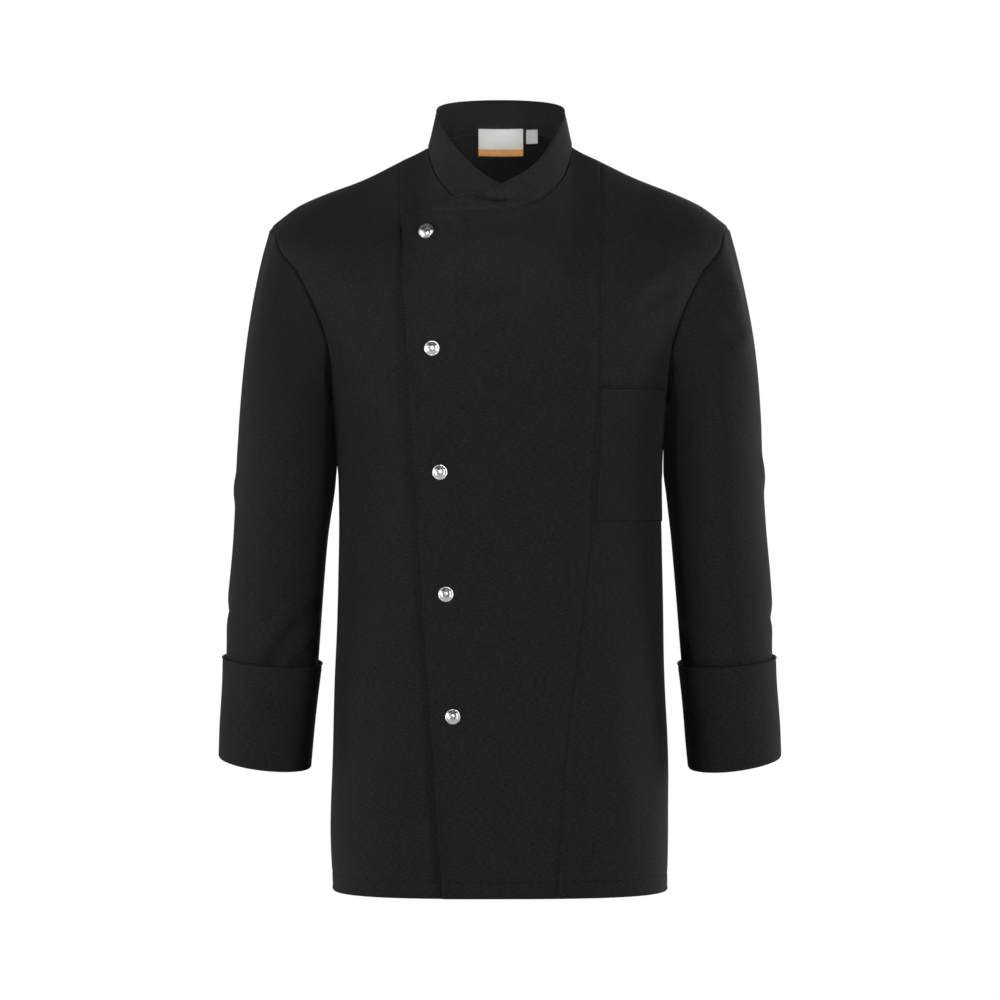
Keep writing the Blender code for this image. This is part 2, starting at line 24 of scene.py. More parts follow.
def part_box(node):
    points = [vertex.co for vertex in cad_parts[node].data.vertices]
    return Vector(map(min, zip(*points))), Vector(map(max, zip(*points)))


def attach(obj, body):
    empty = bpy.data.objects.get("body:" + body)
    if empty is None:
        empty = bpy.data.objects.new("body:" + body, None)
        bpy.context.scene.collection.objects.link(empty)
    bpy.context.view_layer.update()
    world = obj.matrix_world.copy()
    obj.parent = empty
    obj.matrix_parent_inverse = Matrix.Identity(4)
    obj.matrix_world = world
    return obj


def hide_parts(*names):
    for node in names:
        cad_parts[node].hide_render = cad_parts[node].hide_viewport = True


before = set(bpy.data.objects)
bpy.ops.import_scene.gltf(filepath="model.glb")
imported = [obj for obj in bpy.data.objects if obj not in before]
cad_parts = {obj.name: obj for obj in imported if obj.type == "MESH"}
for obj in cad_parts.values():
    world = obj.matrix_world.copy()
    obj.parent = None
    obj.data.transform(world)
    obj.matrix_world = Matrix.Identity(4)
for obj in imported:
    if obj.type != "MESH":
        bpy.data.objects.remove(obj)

LOG = logging.getLogger("chef_jacket")
MM = 0.001
MIRRORED = np.array((-1.0, 1.0, 1.0))
# Points nearer than this, in metres, are one point.
SAME_PLACE = 1e-6
# Steps of the searches that halve a range until it is a point.
HALVINGS = 50


class Edge(Enum):
    """The four edges of a panel's grid, seen from outside."""

    LEFT = "left"
    RIGHT = "right"
    BOTTOM = "bottom"
    TOP = "top"


class View(Enum):
    """The side from which a fold is drawn: which axes it is drawn on, and which way it is seen."""

    FRONT = (0, 1, -1.0)
    BACK = (0, 1, 1.0)
    WEARERS_LEFT = (1, 0, 1.0)
    WEARERS_RIGHT = (1, 0, -1.0)

    def across(self, points: np.ndarray) -> np.ndarray:
        """The coordinate that runs across this view."""
        return points[:, self.value[0]]

    def facing(self, normals: np.ndarray) -> np.ndarray:
        """How squarely each normal faces this view, from 0 to 1."""
        return np.clip(normals[:, self.value[1]] * self.value[2], 0.0, 1.0)


def ease(share: np.ndarray) -> np.ndarray:
    """0 to 1, flat at both ends."""
    share = np.clip(share, 0.0, 1.0)
    return share * share * (3 - 2 * share)


def unit(vectors: np.ndarray) -> np.ndarray:
    """Vectors of length one."""
    return vectors / np.maximum(np.linalg.norm(vectors, axis=-1, keepdims=True), 1e-12)


def distances(points: np.ndarray, axis: int = 0) -> np.ndarray:
    """How far along its line each point lies, where the lines run along an axis."""
    steps = np.linalg.norm(np.diff(points, axis=axis), axis=-1)
    pad = [(0, 0)] * steps.ndim
    pad[axis] = (1, 0)
    return np.cumsum(np.pad(steps, pad), axis=axis)


def read_along(places: np.ndarray | float, run: np.ndarray, line: np.ndarray) -> np.ndarray:
    """Points of a line at distances along it."""
    return np.stack([np.interp(places, run, line[:, k]) for k in range(3)], axis=-1)


# Fine steps from an edge inwards, in millimetres: none, at a seam, and at an edge that is turned in.
PLAIN = ()
SEWN = (1.1, 2.6)
TURNED = (0.8, 1.7, 2.6, 3.8)


def graded(count: int, length: float, at_start: Sequence[float], at_end: Sequence[float]) -> np.ndarray:
    """Shares of a length, close together near its worked ends.

    Args:
        count: steps between the fine ones.
        length: the length in metres that the shares divide.
        at_start: fine steps at 0, in millimetres.
        at_end: fine steps at 1, in millimetres.

    Returns:
        The shares from 0 to 1.
    """
    start = [0.0, *(step * MM / length for step in at_start)]
    end = [*(1 - step * MM / length for step in reversed(at_end)), 1.0]
    middle = np.linspace(start[-1], end[0], count + 1)[1:-1]
    return np.array([*start, *middle, *end])


def spaced(lines: np.ndarray, shares: np.ndarray) -> np.ndarray:
    """Points on each line at shares of its length."""
    runs = distances(lines, axis=1)
    return np.array([read_along(shares * run[-1], run, line) for run, line in zip(runs, lines)])


class Curve:
    """A column of a table, read between its rows on a curve that never overshoots them."""

    def __init__(self, table: Sequence[tuple], column: int) -> None:
        """Read a column of a table whose first column is what it is read at."""
        self.at = np.array([row[0] for row in table])
        self.value = np.array([row[column] for row in table])
        slope = np.diff(self.value) / np.diff(self.at)
        before, after = slope[:-1], slope[1:]
        same = before * after > 0
        inner = np.where(same, 2 * before * after / np.where(same, before + after, 1.0), 0.0)
        self.tangent = np.concatenate([slope[:1], inner, slope[-1:]])

    def __call__(self, at: np.ndarray | float) -> np.ndarray:
        """The value at each place, held level beyond the table's ends."""
        at = np.clip(at, self.at[0], self.at[-1])
        i = np.clip(np.searchsorted(self.at, at, side="right") - 1, 0, len(self.at) - 2)
        span = self.at[i + 1] - self.at[i]
        t = (at - self.at[i]) / span
        return (
            self.value[i] * (1 + 2 * t) * (1 - t) ** 2
            + self.value[i + 1] * t * t * (3 - 2 * t)
            + span * self.tangent[i] * t * (1 - t) ** 2
            - span * self.tangent[i + 1] * t * t * (1 - t)
        )


# ---------------------------------------------------------------- the cut


@dataclass(frozen=True)
class Cut:
    """The sizes of the jacket's cut, in metres."""

    hem: float = -0.761
    armpit: float = -0.270
    neck_half: float = 0.0735
    neck_front: float = 0.0708
    neck_back: float = 0.0195
    neck_back_power: int = 4
    seam_at_shoulder: float = 0.103
    shoulder_tip: float = 0.235
    armhole_middle: float = -0.1769
    armhole_half: float = 0.0931
    armhole_front: float = 0.066
    armhole_fullness: float = 0.72
    armhole_back: float = 0.080
    armhole_limit: float = 0.300
    lap: float = 0.0039
    lap_half_width: float = 0.100
    lap_fades: float = 0.045
    lap_corner: float = 0.0055
    under_corner: float = 0.0040
    # height, half width, depth in front, depth behind, squareness
    levels: tuple = (
        (-0.761, 0.1722, 0.140, 0.122, 3.0),
        (-0.700, 0.1736, 0.137, 0.120, 2.9),
        (-0.560, 0.1697, 0.129, 0.110, 2.7),
        (-0.450, 0.1665, 0.123, 0.102, 2.6),
        (-0.340, 0.1653, 0.121, 0.104, 2.6),
        (-0.300, 0.1672, 0.121, 0.109, 2.6),
        (-0.270, 0.1705, 0.121, 0.112, 2.6),
        (-0.225, 0.1825, 0.1205, 0.115, 2.6),
        (-0.183, 0.2000, 0.119, 0.117, 2.6),
        (-0.132, 0.2305, 0.111, 0.117, 2.6),
        (-0.103, 0.2850, 0.106, 0.117, 2.6),
        (-0.080, 0.3900, 0.100, 0.117, 2.6),
        (-0.020, 0.5000, 0.092, 0.115, 2.6),
        (0.045, 0.5000, 0.086, 0.112, 2.6),
    )
    # place across, height of the top line, drop of the turn in front and behind, and its squareness
    shoulders: tuple = (
        (-0.030, 0.0335, 0.140, 0.082, 1.25, 1.60),
        (0.000, 0.0380, 0.140, 0.082, 1.25, 1.60),
        (0.030, 0.0335, 0.140, 0.082, 1.25, 1.60),
        (0.052, 0.0235, 0.140, 0.085, 1.25, 1.60),
        (0.0735, 0.000, 0.140, 0.092, 1.25, 1.60),
        (0.103, -0.0144, 0.130, 0.098, 1.35, 1.60),
        (0.140, -0.032, 0.118, 0.095, 1.50, 1.60),
        (0.1813, -0.0484, 0.105, 0.092, 1.60, 1.60),
        (0.206, -0.0606, 0.096, 0.090, 1.60, 1.60),
        (0.2245, -0.0748, 0.091, 0.090, 1.60, 1.60),
        (0.235, -0.0838, 0.090, 0.090, 1.60, 1.60),
        (0.260, -0.110, 0.090, 0.090, 1.60, 1.60),
    )
    # height, left and right panel seam, edge of the lapping front, edge of the front beneath
    seams: tuple = (
        (-0.761, 0.0565, 0.0525, 0.0565, 0.038),
        (-0.6157, 0.0670, 0.0615, 0.0660, 0.048),
        (-0.4637, 0.0850, 0.0715, 0.0762, 0.056),
        (-0.3916, 0.0920, 0.0760, 0.0800, 0.058),
        (-0.2085, 0.0997, 0.0880, 0.0920, 0.054),
        (-0.120, 0.1020, 0.0955, 0.0970, 0.036),
        (-0.0755, 0.1030, 0.1015, 0.0994, 0.030),
        (-0.0144, 0.1030, 0.1030, 0.1000, 0.030),
    )


class JacketForm:
    """The jacket's outer surface as a depth in front of the shoulder line, or behind it."""

    def __init__(self, cut: Cut) -> None:
        """Read the cut's tables."""
        self.cut = cut
        self.width, self.front, self.rear, self.square = (Curve(cut.levels, k) for k in range(1, 5))
        self.shoulder = Curve(cut.shoulders, 1)
        self.round = {False: Curve(cut.shoulders, 2), True: Curve(cut.shoulders, 3)}
        self.power = {False: Curve(cut.shoulders, 4), True: Curve(cut.shoulders, 5)}
        self.left_seam, self.right_seam, self.lap_edge, self.under_edge = (
            Curve(cut.seams, k) for k in range(1, 5)
        )

    def shoulder_height(self, x: np.ndarray) -> np.ndarray:
        """The height of the top line at a place across the shoulders."""
        return self.shoulder(np.abs(x))

    def stands_out(self, x: np.ndarray, z: np.ndarray, back: bool) -> np.ndarray:
        """How far the cloth stands in front of the shoulder line, or behind it."""
        out = np.abs(x)
        square = self.square(z)
        across = np.maximum(0.0, 1 - (out / self.width(z)) ** square) ** (1 / square)
        power = self.power[back](out)
        below = np.clip((self.shoulder_height(x) - z) / self.round[back](out), 0.0, 1.0)
        over = (1 - (1 - below) ** power) ** (1 / power)
        return (self.rear if back else self.front)(z) * across * over

    def on_form(self, x: np.ndarray, z: np.ndarray, back: bool) -> np.ndarray:
        """Points of the surface."""
        x, z = np.broadcast_arrays(x, z)
        return np.stack([x, self.stands_out(x, z, back) * (1 if back else -1), z], axis=-1)

    def outwards(self, x: np.ndarray, z: np.ndarray) -> np.ndarray:
        """The direction square to the front's face."""
        step = 0.5 * MM
        slope_x = self.stands_out(x + step, z, False) - self.stands_out(x - step, z, False)
        slope_z = self.stands_out(x, z + step, False) - self.stands_out(x, z - step, False)
        return unit(np.stack([-slope_x, np.full_like(slope_x, -2 * step), -slope_z], axis=-1))

    def lap_step(self, points: np.ndarray, layer: int) -> np.ndarray:
        """How far the lapping front (layer 1) stands out, and the front beneath (layer -1) in."""
        half = self.cut.lap_half_width
        under = ease((points[..., 0] + half) / (2 * half))
        share = 1 - under if layer > 0 else -under
        return share * self.cut.lap * ease(-points[..., 1] / self.cut.lap_fades)

    def lifted(self, points: np.ndarray, layer: int) -> np.ndarray:
        """Points of the front moved into their own layer."""
        step = self.lap_step(points, layer)[..., None]
        return points + self.outwards(points[..., 0], points[..., 2]) * step

    def height(self, base: np.ndarray, share: np.ndarray, top: np.ndarray) -> np.ndarray:
        """The height of a row where the panel's top edge is at a given height."""
        neck = -self.cut.neck_front
        return base + (neck - base) * share + (top - neck) * share**3

    def share_at(self, z: np.ndarray, top: np.ndarray) -> np.ndarray:
        """The share of the row above the armpit that passes a height where the top edge is at another."""
        low, high = np.zeros_like(z), np.ones_like(z)
        for _ in range(HALVINGS):
            middle = (low + high) / 2
            under = self.height(self.cut.armpit, middle, top) < z
            low, high = np.where(under, middle, low), np.where(under, high, middle)
        return high

    def armhole(self, degrees: np.ndarray, back: bool) -> np.ndarray:
        """Points of the left armhole, from the underarm at 0 to the tip of the shoulder at 180."""
        cut = self.cut
        turn = np.radians(degrees)
        z = cut.armhole_middle - cut.armhole_half * np.cos(turn)
        power = np.where(turn > np.pi / 2, 1.0 if back else cut.armhole_fullness, 1.0)
        reach = (cut.armhole_back if back else cut.armhole_front) * np.maximum(np.sin(turn), 0.0) ** power
        near, far = np.full_like(z, cut.seam_at_shoulder), np.full_like(z, cut.armhole_limit)
        for _ in range(HALVINGS):
            x = (near + far) / 2
            inside = self.stands_out(x, z, back) > reach
            near, far = np.where(inside, x, near), np.where(inside, far, x)
        points = self.on_form(near, z, back)
        points[degrees == 0] = (float(self.width(cut.armpit)), 0.0, cut.armpit)
        tip = cut.shoulder_tip
        points[degrees == 180] = (tip, 0.0, float(self.shoulder_height(np.array(tip))))
        return points


# ---------------------------------------------------------------- sheets of cloth


@dataclass
class Sheet:
    """A panel of cloth as a grid of points on its outer face, rows from the bottom up."""

    name: str
    points: np.ndarray
    free: frozenset[Edge] = frozenset()
    closed: bool = False
    proud: float = 0.0
    # How strongly the seams draw the cloth in, and how far the stitches lie from each turned edge, or 0
    # where none show.
    drawn: float = 1.0
    turned: dict[Edge, float] = field(default_factory=dict)
    normals: np.ndarray = field(default_factory=lambda: np.empty(0))
    weave: np.ndarray = field(default_factory=lambda: np.empty(0))

    def __post_init__(self) -> None:
        """Measure the cloth's own coordinates along its rows and columns, in metres."""
        self.weave = np.stack([self.along(Edge.LEFT), self.along(Edge.BOTTOM)], axis=-1)
        self.face()

    def along(self, edge: Edge) -> np.ndarray:
        """The distance of each point from an edge, measured over the cloth."""
        axis = 1 if edge in (Edge.LEFT, Edge.RIGHT) else 0
        run = distances(self.points, axis)
        if edge in (Edge.LEFT, Edge.BOTTOM):
            return run
        return run.take([-1], axis=axis) - run

    def face(self) -> None:
        """Work out which way is out at each point."""
        right, up = np.gradient(self.points, axis=1), np.gradient(self.points, axis=0)
        if self.closed:
            right[:, 0] = right[:, -1] = self.points[:, 1] - self.points[:, -2]
        self.normals = unit(np.cross(right, up))

    def seam_distance(self) -> np.ndarray:
        """The distance of each point from the nearest sewn edge."""
        edges = {Edge.TOP, Edge.BOTTOM} if self.closed else set(Edge)
        sewn = [self.along(edge) for edge in edges - self.free]
        return np.min(sewn, axis=0) if sewn else np.full(self.points.shape[:2], 1.0)

    def inset(self, edge: Edge, distance: float) -> tuple[np.ndarray, np.ndarray]:
        """A line that follows an edge at a distance.

        Args:
            edge: the edge that the line follows.
            distance: how far inside the edge it runs, in metres.

        Returns:
            The line's points, and the directions that face out of the cloth there.
        """
        run, points, normals = self.along(edge), self.points + self.normals * self.proud, self.normals
        if edge in (Edge.BOTTOM, Edge.TOP):
            run, points, normals = run.T, points.transpose(1, 0, 2), normals.transpose(1, 0, 2)
        if edge in (Edge.RIGHT, Edge.TOP):
            run, points, normals = run[:, ::-1], points[:, ::-1], normals[:, ::-1]
        line = [read_along(distance, *pair) for pair in zip(run, points)]
        facing = [read_along(distance, *pair) for pair in zip(run, normals)]
        return np.array(line), unit(np.array(facing))


class FoldField:
    """The folds of the whole jacket, as heights above its smooth form."""

    def __init__(self, creases: Iterable[Crease]) -> None:
        """Keep the folds to be raised."""
        self.creases = tuple(creases)

    def heights(self, names: np.ndarray, points: np.ndarray, normals: np.ndarray) -> np.ndarray:
        """The height of the cloth above the smooth form at each point."""
        raised = self.swell(points)
        for crease in self.creases:
            chosen = np.isin(names, crease.pieces)
            raised[chosen] += crease.heights(points[chosen], normals[chosen])
        return raised

    @staticmethod
    def swell(points: np.ndarray) -> np.ndarray:
        """The broad, slight unevenness of cloth that hangs free."""
        # size in millimetres, turns along each axis in radians a metre, and where the wave starts
        waves = (
            (0.50, (9.0, 4.0, 31.0), 0.4),
            (0.42, (-23.0, 11.0, 17.0), 2.1),
            (0.34, (37.0, -19.0, 8.0), 4.4),
            (0.25, (-13.0, 41.0, 46.0), 1.3),
            (0.20, (52.0, 23.0, -29.0), 5.2),
        )
        total = np.zeros(len(points))
        for size, pitch, phase in waves:
            total += size * MM * np.sin(points @ np.array(pitch) + phase)
        return total


@dataclass(frozen=True)
class Crease:
    """One fold: a soft ridge, or a trough where its height is below 0, along a line drawn on a view."""

    view: View
    pieces: tuple[str, ...]
    path: np.ndarray
    height: float
    width: float
    # How deep it dips on both sides, as a share of its height, and the share of its line that each end
    # fades over.
    shoulders: float = 0.35
    fades: float = 0.3
    # The share of the fade that is plain. The rest is squared, so that the ends are thin.
    plain_fade: float = 0.15

    def heights(self, points: np.ndarray, normals: np.ndarray) -> np.ndarray:
        """How far the fold raises each point."""
        place = np.stack([self.view.across(points), points[:, 2]], axis=-1)
        path, lengths = self.path, distances(self.path)
        nearest = np.full(len(place), np.inf)
        share = np.zeros(len(place))
        for k in range(len(path) - 1):
            run = path[k + 1] - path[k]
            t = np.clip((place - path[k]) @ run / (run @ run), 0.0, 1.0)
            distance = np.linalg.norm(place - path[k] - t[:, None] * run, axis=1)
            closer = distance < nearest
            nearest = np.where(closer, distance, nearest)
            share = np.where(closer, (lengths[k] + t * (lengths[k + 1] - lengths[k])) / lengths[-1], share)
        size = nearest / self.width
        profile = np.exp(-(size**2)) - self.shoulders * np.exp(-((size / 2) ** 2))
        ends = ease(share / self.fades) * ease((1 - share) / self.fades)
        thin = self.plain_fade + (1 - self.plain_fade) * ends
        return self.height * profile * thin * ends * ease(self.view.facing(normals) * 2)


# ---------------------------------------------------------------- finishes


def linear(hex_colour: str) -> tuple[float, float, float, float]:
    """An sRGB hex colour as linear red, green, blue and alpha."""
    channels = [int(hex_colour[k : k + 2], 16) / 255 for k in (1, 3, 5)]
    return (*(c / 12.92 if c <= 0.04045 else ((c + 0.055) / 1.055) ** 2.4 for c in channels), 1.0)


def wire(
    tree: bpy.types.NodeTree, node: bpy.types.Node, values: dict | None = None, links: dict | None = None
) -> None:
    """Give a node's inputs their values, or link them to output sockets, by the inputs' names or numbers."""
    for name, value in (values or {}).items():
        node.inputs[name].default_value = value
    for name, socket in (links or {}).items():
        tree.links.new(socket, node.inputs[name])


def add_node(
    tree: bpy.types.NodeTree,
    kind: str,
    settings: dict | None = None,
    values: dict | None = None,
    links: dict | None = None,
) -> bpy.types.Node:
    """Add a node.

    Args:
        tree: the node tree that it goes into.
        kind: the node's type.
        settings: the node's own settings, by name.
        values: values of its inputs, by input name or number.
        links: output sockets that are linked to its inputs, by input name or number.

    Returns:
        The node.
    """
    made = tree.nodes.new(kind)
    for name, value in (settings or {}).items():
        setattr(made, name, value)
    wire(tree, made, values, links)
    return made


def add_noise(
    tree: bpy.types.NodeTree, place: bpy.types.NodeSocket, size: float, detail: float
) -> bpy.types.NodeSocket:
    """Add a noise read at a place, with spots of a size in metres."""
    values = {"Scale": 1 / size, "Detail": detail}
    return add_node(tree, "ShaderNodeTexNoise", {}, values, {"Vector": place}).outputs["Fac"]


def add_range(
    tree: bpy.types.NodeTree, value: bpy.types.NodeSocket, values: dict, smooth: bool = False
) -> bpy.types.NodeSocket:
    """Add a map of a value from one range to another."""
    settings = {"interpolation_type": "SMOOTHSTEP"} if smooth else {}
    return add_node(tree, "ShaderNodeMapRange", settings, values, {"Value": value}).outputs[0]


def add_bump(
    tree: bpy.types.NodeTree,
    height: bpy.types.NodeSocket,
    strength: float,
    distance: float,
    beneath: bpy.types.NodeSocket | None = None,
) -> bpy.types.NodeSocket:
    """Add a bump that follows a height, on top of another bump where there is one beneath."""
    values = {"Strength": strength, "Distance": distance}
    links = {"Height": height} if beneath is None else {"Height": height, "Normal": beneath}
    return add_node(tree, "ShaderNodeBump", {}, values, links).outputs[0]


def new_material(name: str) -> tuple[bpy.types.Material, bpy.types.NodeTree, bpy.types.Node]:
    """A new material, its nodes and its shader."""
    material = bpy.data.materials.new(name)
    material.use_nodes = True
    return material, material.node_tree, material.node_tree.nodes["Principled BSDF"]


@dataclass(frozen=True)
class TwillFinish:
    """Black polyester-cotton twill, piece-dyed and pressed: matt, with a faint sheen where it turns."""

    name: str = "piece_dyed_twill"
    light: str = "#2a2a2c"
    dark: str = "#151516"
    # Real ribs lie 0.5 mm apart, and slubs are 0.3 mm thick: too fine to show, so both are drawn coarser.
    rib: float = 1.3 * MM
    slub_length: float = 4.545 * MM
    slub_thickness: float = 1.111 * MM
    # Uneven dye: how wide its clouds are, and their part in the colour beside the slubs.
    cloud: float = 26.32 * MM
    clouds: float = 0.14
    roughness: float = 0.82

    def make(self) -> bpy.types.Material:
        """The material, with ribs and slubs that follow the cloth's own coordinates."""
        material, tree, shader = new_material(self.name)
        cloth = add_node(tree, "ShaderNodeAttribute", {"attribute_name": "weave"}).outputs["Vector"]
        ribs = add_node(
            tree,
            "ShaderNodeTexWave",
            {"wave_type": "BANDS", "bands_direction": "DIAGONAL"},
            {"Scale": 2 * math.pi / (10 * self.rib) / math.sqrt(2), "Distortion": 1.5, "Detail": 2.0},
            {"Vector": cloth},
        )
        # Slubs run along the weft, across the jacket, so the cloth's coordinates are counted in slubs.
        in_slubs = {"Scale": (1 / self.slub_length, 1 / self.slub_thickness, 1.0)}
        weft = add_node(tree, "ShaderNodeMapping", {}, in_slubs, {"Vector": cloth})
        slubs = add_noise(tree, weft.outputs[0], 1.0, 3.0)
        clouds = add_noise(tree, cloth, self.cloud, 4.0)
        both = {0: clouds, 2: slubs}
        mixed = add_node(tree, "ShaderNodeMath", {"operation": "MULTIPLY_ADD"}, {1: self.clouds}, both)
        shade = add_range(tree, mixed.outputs[0], {"From Min": 0.32, "From Max": 0.84})
        ramp = add_node(tree, "ShaderNodeValToRGB", {}, {}, {"Fac": shade})
        for stop, colour in zip(ramp.color_ramp.elements, (self.dark, self.light)):
            stop.color = linear(colour)
        coarse = add_bump(tree, slubs, 0.35, 0.25 * MM)
        fine = add_bump(tree, ribs.outputs["Fac"], 0.25, 0.2 * MM, coarse)
        surface = {
            "Roughness": self.roughness,
            "IOR": 1.45,
            "Specular IOR Level": 0.10,
            "Sheen Weight": 0.035,
            "Sheen Roughness": 0.45,
        }
        wire(tree, shader, surface, {"Base Color": ramp.outputs["Color"], "Normal": fine})
        return material


@dataclass(frozen=True)
class ThreadFinish:
    """Black core-spun sewing thread: a twist of fibre, slightly glossier than the cloth."""

    name: str = "sewing_thread"
    colour: str = "#0b0b0c"
    roughness: float = 0.8
    twist: float = 0.714 * MM

    def make(self) -> bpy.types.Material:
        """The material, with a fine twist along the stitches."""
        material, tree, shader = new_material(self.name)
        place = add_node(tree, "ShaderNodeTexCoord").outputs["Object"]
        twist = add_noise(tree, place, self.twist, 1.0)
        colour = linear(self.colour)
        surface = {"Base Color": colour, "Roughness": self.roughness, "Specular IOR Level": 0.08}
        wire(tree, shader, surface, {"Normal": add_bump(tree, twist, 0.3, 0.1 * MM)})
        return material


@dataclass(frozen=True)
class PlatedBrassFinish:
    """Nickel-plated pressed brass: bright and smooth, with faint polishing marks."""

    name: str = "nickel_plated_brass"
    colour: str = "#e6e6e5"
    roughness: float = 0.26
    mark: float = 1.111 * MM

    def make(self) -> bpy.types.Material:
        """The material, a metal with slightly uneven gloss."""
        material, tree, shader = new_material(self.name)
        place = add_node(tree, "ShaderNodeTexCoord").outputs["Object"]
        marks = add_noise(tree, place, self.mark, 2.0)
        gloss = add_range(tree, marks, {"To Min": self.roughness - 0.05, "To Max": self.roughness + 0.08})
        wire(tree, shader, {"Base Color": linear(self.colour), "Metallic": 1.0}, {"Roughness": gloss})
        return material


@dataclass(frozen=True)
class TapeFinish:
    """White satin-woven polyester tape, softly glossy, with one plain coloured band along its lower edge."""

    name: str = "woven_label_tape"
    ground: str = "#fbfaf6"
    band: str = "#f0a546"
    band_high: float = 7.2 * MM
    # Real threads lie 0.1 mm apart, too fine to show, so they are drawn coarser.
    thread: float = 0.7 * MM

    def make(self, banded: bool) -> bpy.types.Material:
        """The material, with or without the band, which follows the tape's own height."""
        material, tree, shader = new_material(self.name if banded else f"plain_{self.name}")
        tape = add_node(tree, "ShaderNodeAttribute", {"attribute_name": "weave"}).outputs["Vector"]
        height = add_node(tree, "ShaderNodeSeparateXYZ", {}, {}, {"Vector": tape}).outputs["Y"]
        edge = {1: self.band_high}
        inside = add_node(tree, "ShaderNodeMath", {"operation": "LESS_THAN"}, edge, {0: height})
        colours = {6: linear(self.ground), 7: linear(self.band if banded else self.ground)}
        colour = add_node(tree, "ShaderNodeMix", {"data_type": "RGBA"}, colours, {0: inside.outputs[0]})
        threads = {"Scale": 2 * math.pi / (20 * self.thread)}
        weft = add_node(tree, "ShaderNodeTexWave", {"bands_direction": "Y"}, threads, {"Vector": tape})
        bump = add_bump(tree, weft.outputs["Fac"], 0.3, 0.1 * MM)
        surface = {"Roughness": 0.45, "Specular IOR Level": 0.8}
        wire(tree, shader, surface, {"Base Color": colour.outputs[2], "Normal": bump})
        return material


# ---------------------------------------------------------------- pieces


class Workshop:
    CLOTH = 1.5 * MM
    # How far two panels lap over each other at a seam, so that no light shows through.
    SEAM_LAP = 0.10 * MM
    # How far from a rim its rounding starts, on cloth of that thickness, and the least angle of a rim.
    SOFT_EDGE = 0.6 * MM
    RIM_ANGLE = math.radians(55)

    @staticmethod
    def add(name: str, shape: bmesh.types.BMesh, material: bpy.types.Material) -> bpy.types.Object:
        """Turn a finished shape into an object that rides on the jacket's body."""
        mesh = bpy.data.meshes.new(name)
        shape.to_mesh(mesh)
        shape.free()
        mesh.materials.append(material)
        mesh.shade_smooth()
        made = bpy.data.objects.new(name, mesh)
        bpy.context.scene.collection.objects.link(made)
        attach(made, "root")
        LOG.info("%s: %d faces", name, len(mesh.polygons))
        return made

    @classmethod
    def lay(cls, sheet: Sheet) -> bmesh.types.BMesh:
        """Lay a sheet's grid, with the way out and the cloth's own coordinates at each point."""
        rows, columns = sheet.points.shape[:2]
        points = sheet.points + sheet.normals * sheet.proud
        lap = cls.SEAM_LAP / 2
        if not sheet.closed:
            for edge, beside in ((0, 1), (-1, -2)):
                points[:, edge] -= unit(points[:, beside] - points[:, edge]) * lap
        for edge, beside in ((0, 1), (-1, -2)):
            points[edge] -= unit(points[beside] - points[edge]) * lap
        shape = bmesh.new()
        out = shape.verts.layers.float_vector.new("out")
        weave = shape.verts.layers.float_vector.new("weave")
        laid = bmesh.ops.create_grid(shape, x_segments=columns - 1, y_segments=rows - 1, size=1.0)["verts"]
        places = points.reshape(-1, 3).tolist()
        facing = sheet.normals.reshape(-1, 3).tolist()
        cloth = sheet.weave.reshape(-1, 2).tolist()
        for vert, place, normal, (u, v) in zip(laid, places, facing, cloth):
            vert.co = place
            vert[out] = normal
            vert[weave] = (u, v, 0.0)
        if sheet.closed:
            bmesh.ops.remove_doubles(shape, verts=shape.verts, dist=SAME_PLACE)
        return shape

    @classmethod
    def thicken(cls, shape: bmesh.types.BMesh, thickness: float) -> None:
        """Give a laid sheet its thickness inwards, and round its rims."""
        out = shape.verts.layers.float_vector["out"]
        made = bmesh.ops.extrude_face_region(shape, geom=shape.faces[:])
        for vert in made["geom"]:
            if isinstance(vert, bmesh.types.BMVert):
                vert.co -= vert[out] * thickness
        bmesh.ops.recalc_face_normals(shape, faces=shape.faces)
        rims = [e for e in shape.edges if e.is_manifold and e.calc_face_angle() > cls.RIM_ANGLE]
        bmesh.ops.bevel(
            shape,
            geom=rims,
            offset=cls.SOFT_EDGE * thickness / cls.CLOTH,
            offset_type="OFFSET",
            segments=2,
            profile=0.5,
            affect="EDGES",
            clamp_overlap=True,
            material=-1,
        )
        shape.normal_update()

    @classmethod
    def sew(
        cls,
        sheet: Sheet,
        material: bpy.types.Material,
        thickness: float,
        flat: tuple[float, float],
        area: float,
        rests_on: str,
        slot: str = "cloth",
    ) -> bpy.types.Object:
        """Make a piece of cloth that stands for its solid.

        Args:
            sheet: the piece's grid; its name is the solid's.
            material: its finish.
            thickness: of its wall.
            flat: the width and length that it was cut to; not used.
            area: the cut's area; not used.
            rests_on: the piece that it is sewn to or hangs on; not used.
            slot: not used.

        Returns:
            The object.
        """
        shape = cls.lay(sheet)
        cls.thicken(shape, thickness)
        made = cls.add(f"{sheet.name}_cloth", shape, material)
        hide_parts(sheet.name)
        return made


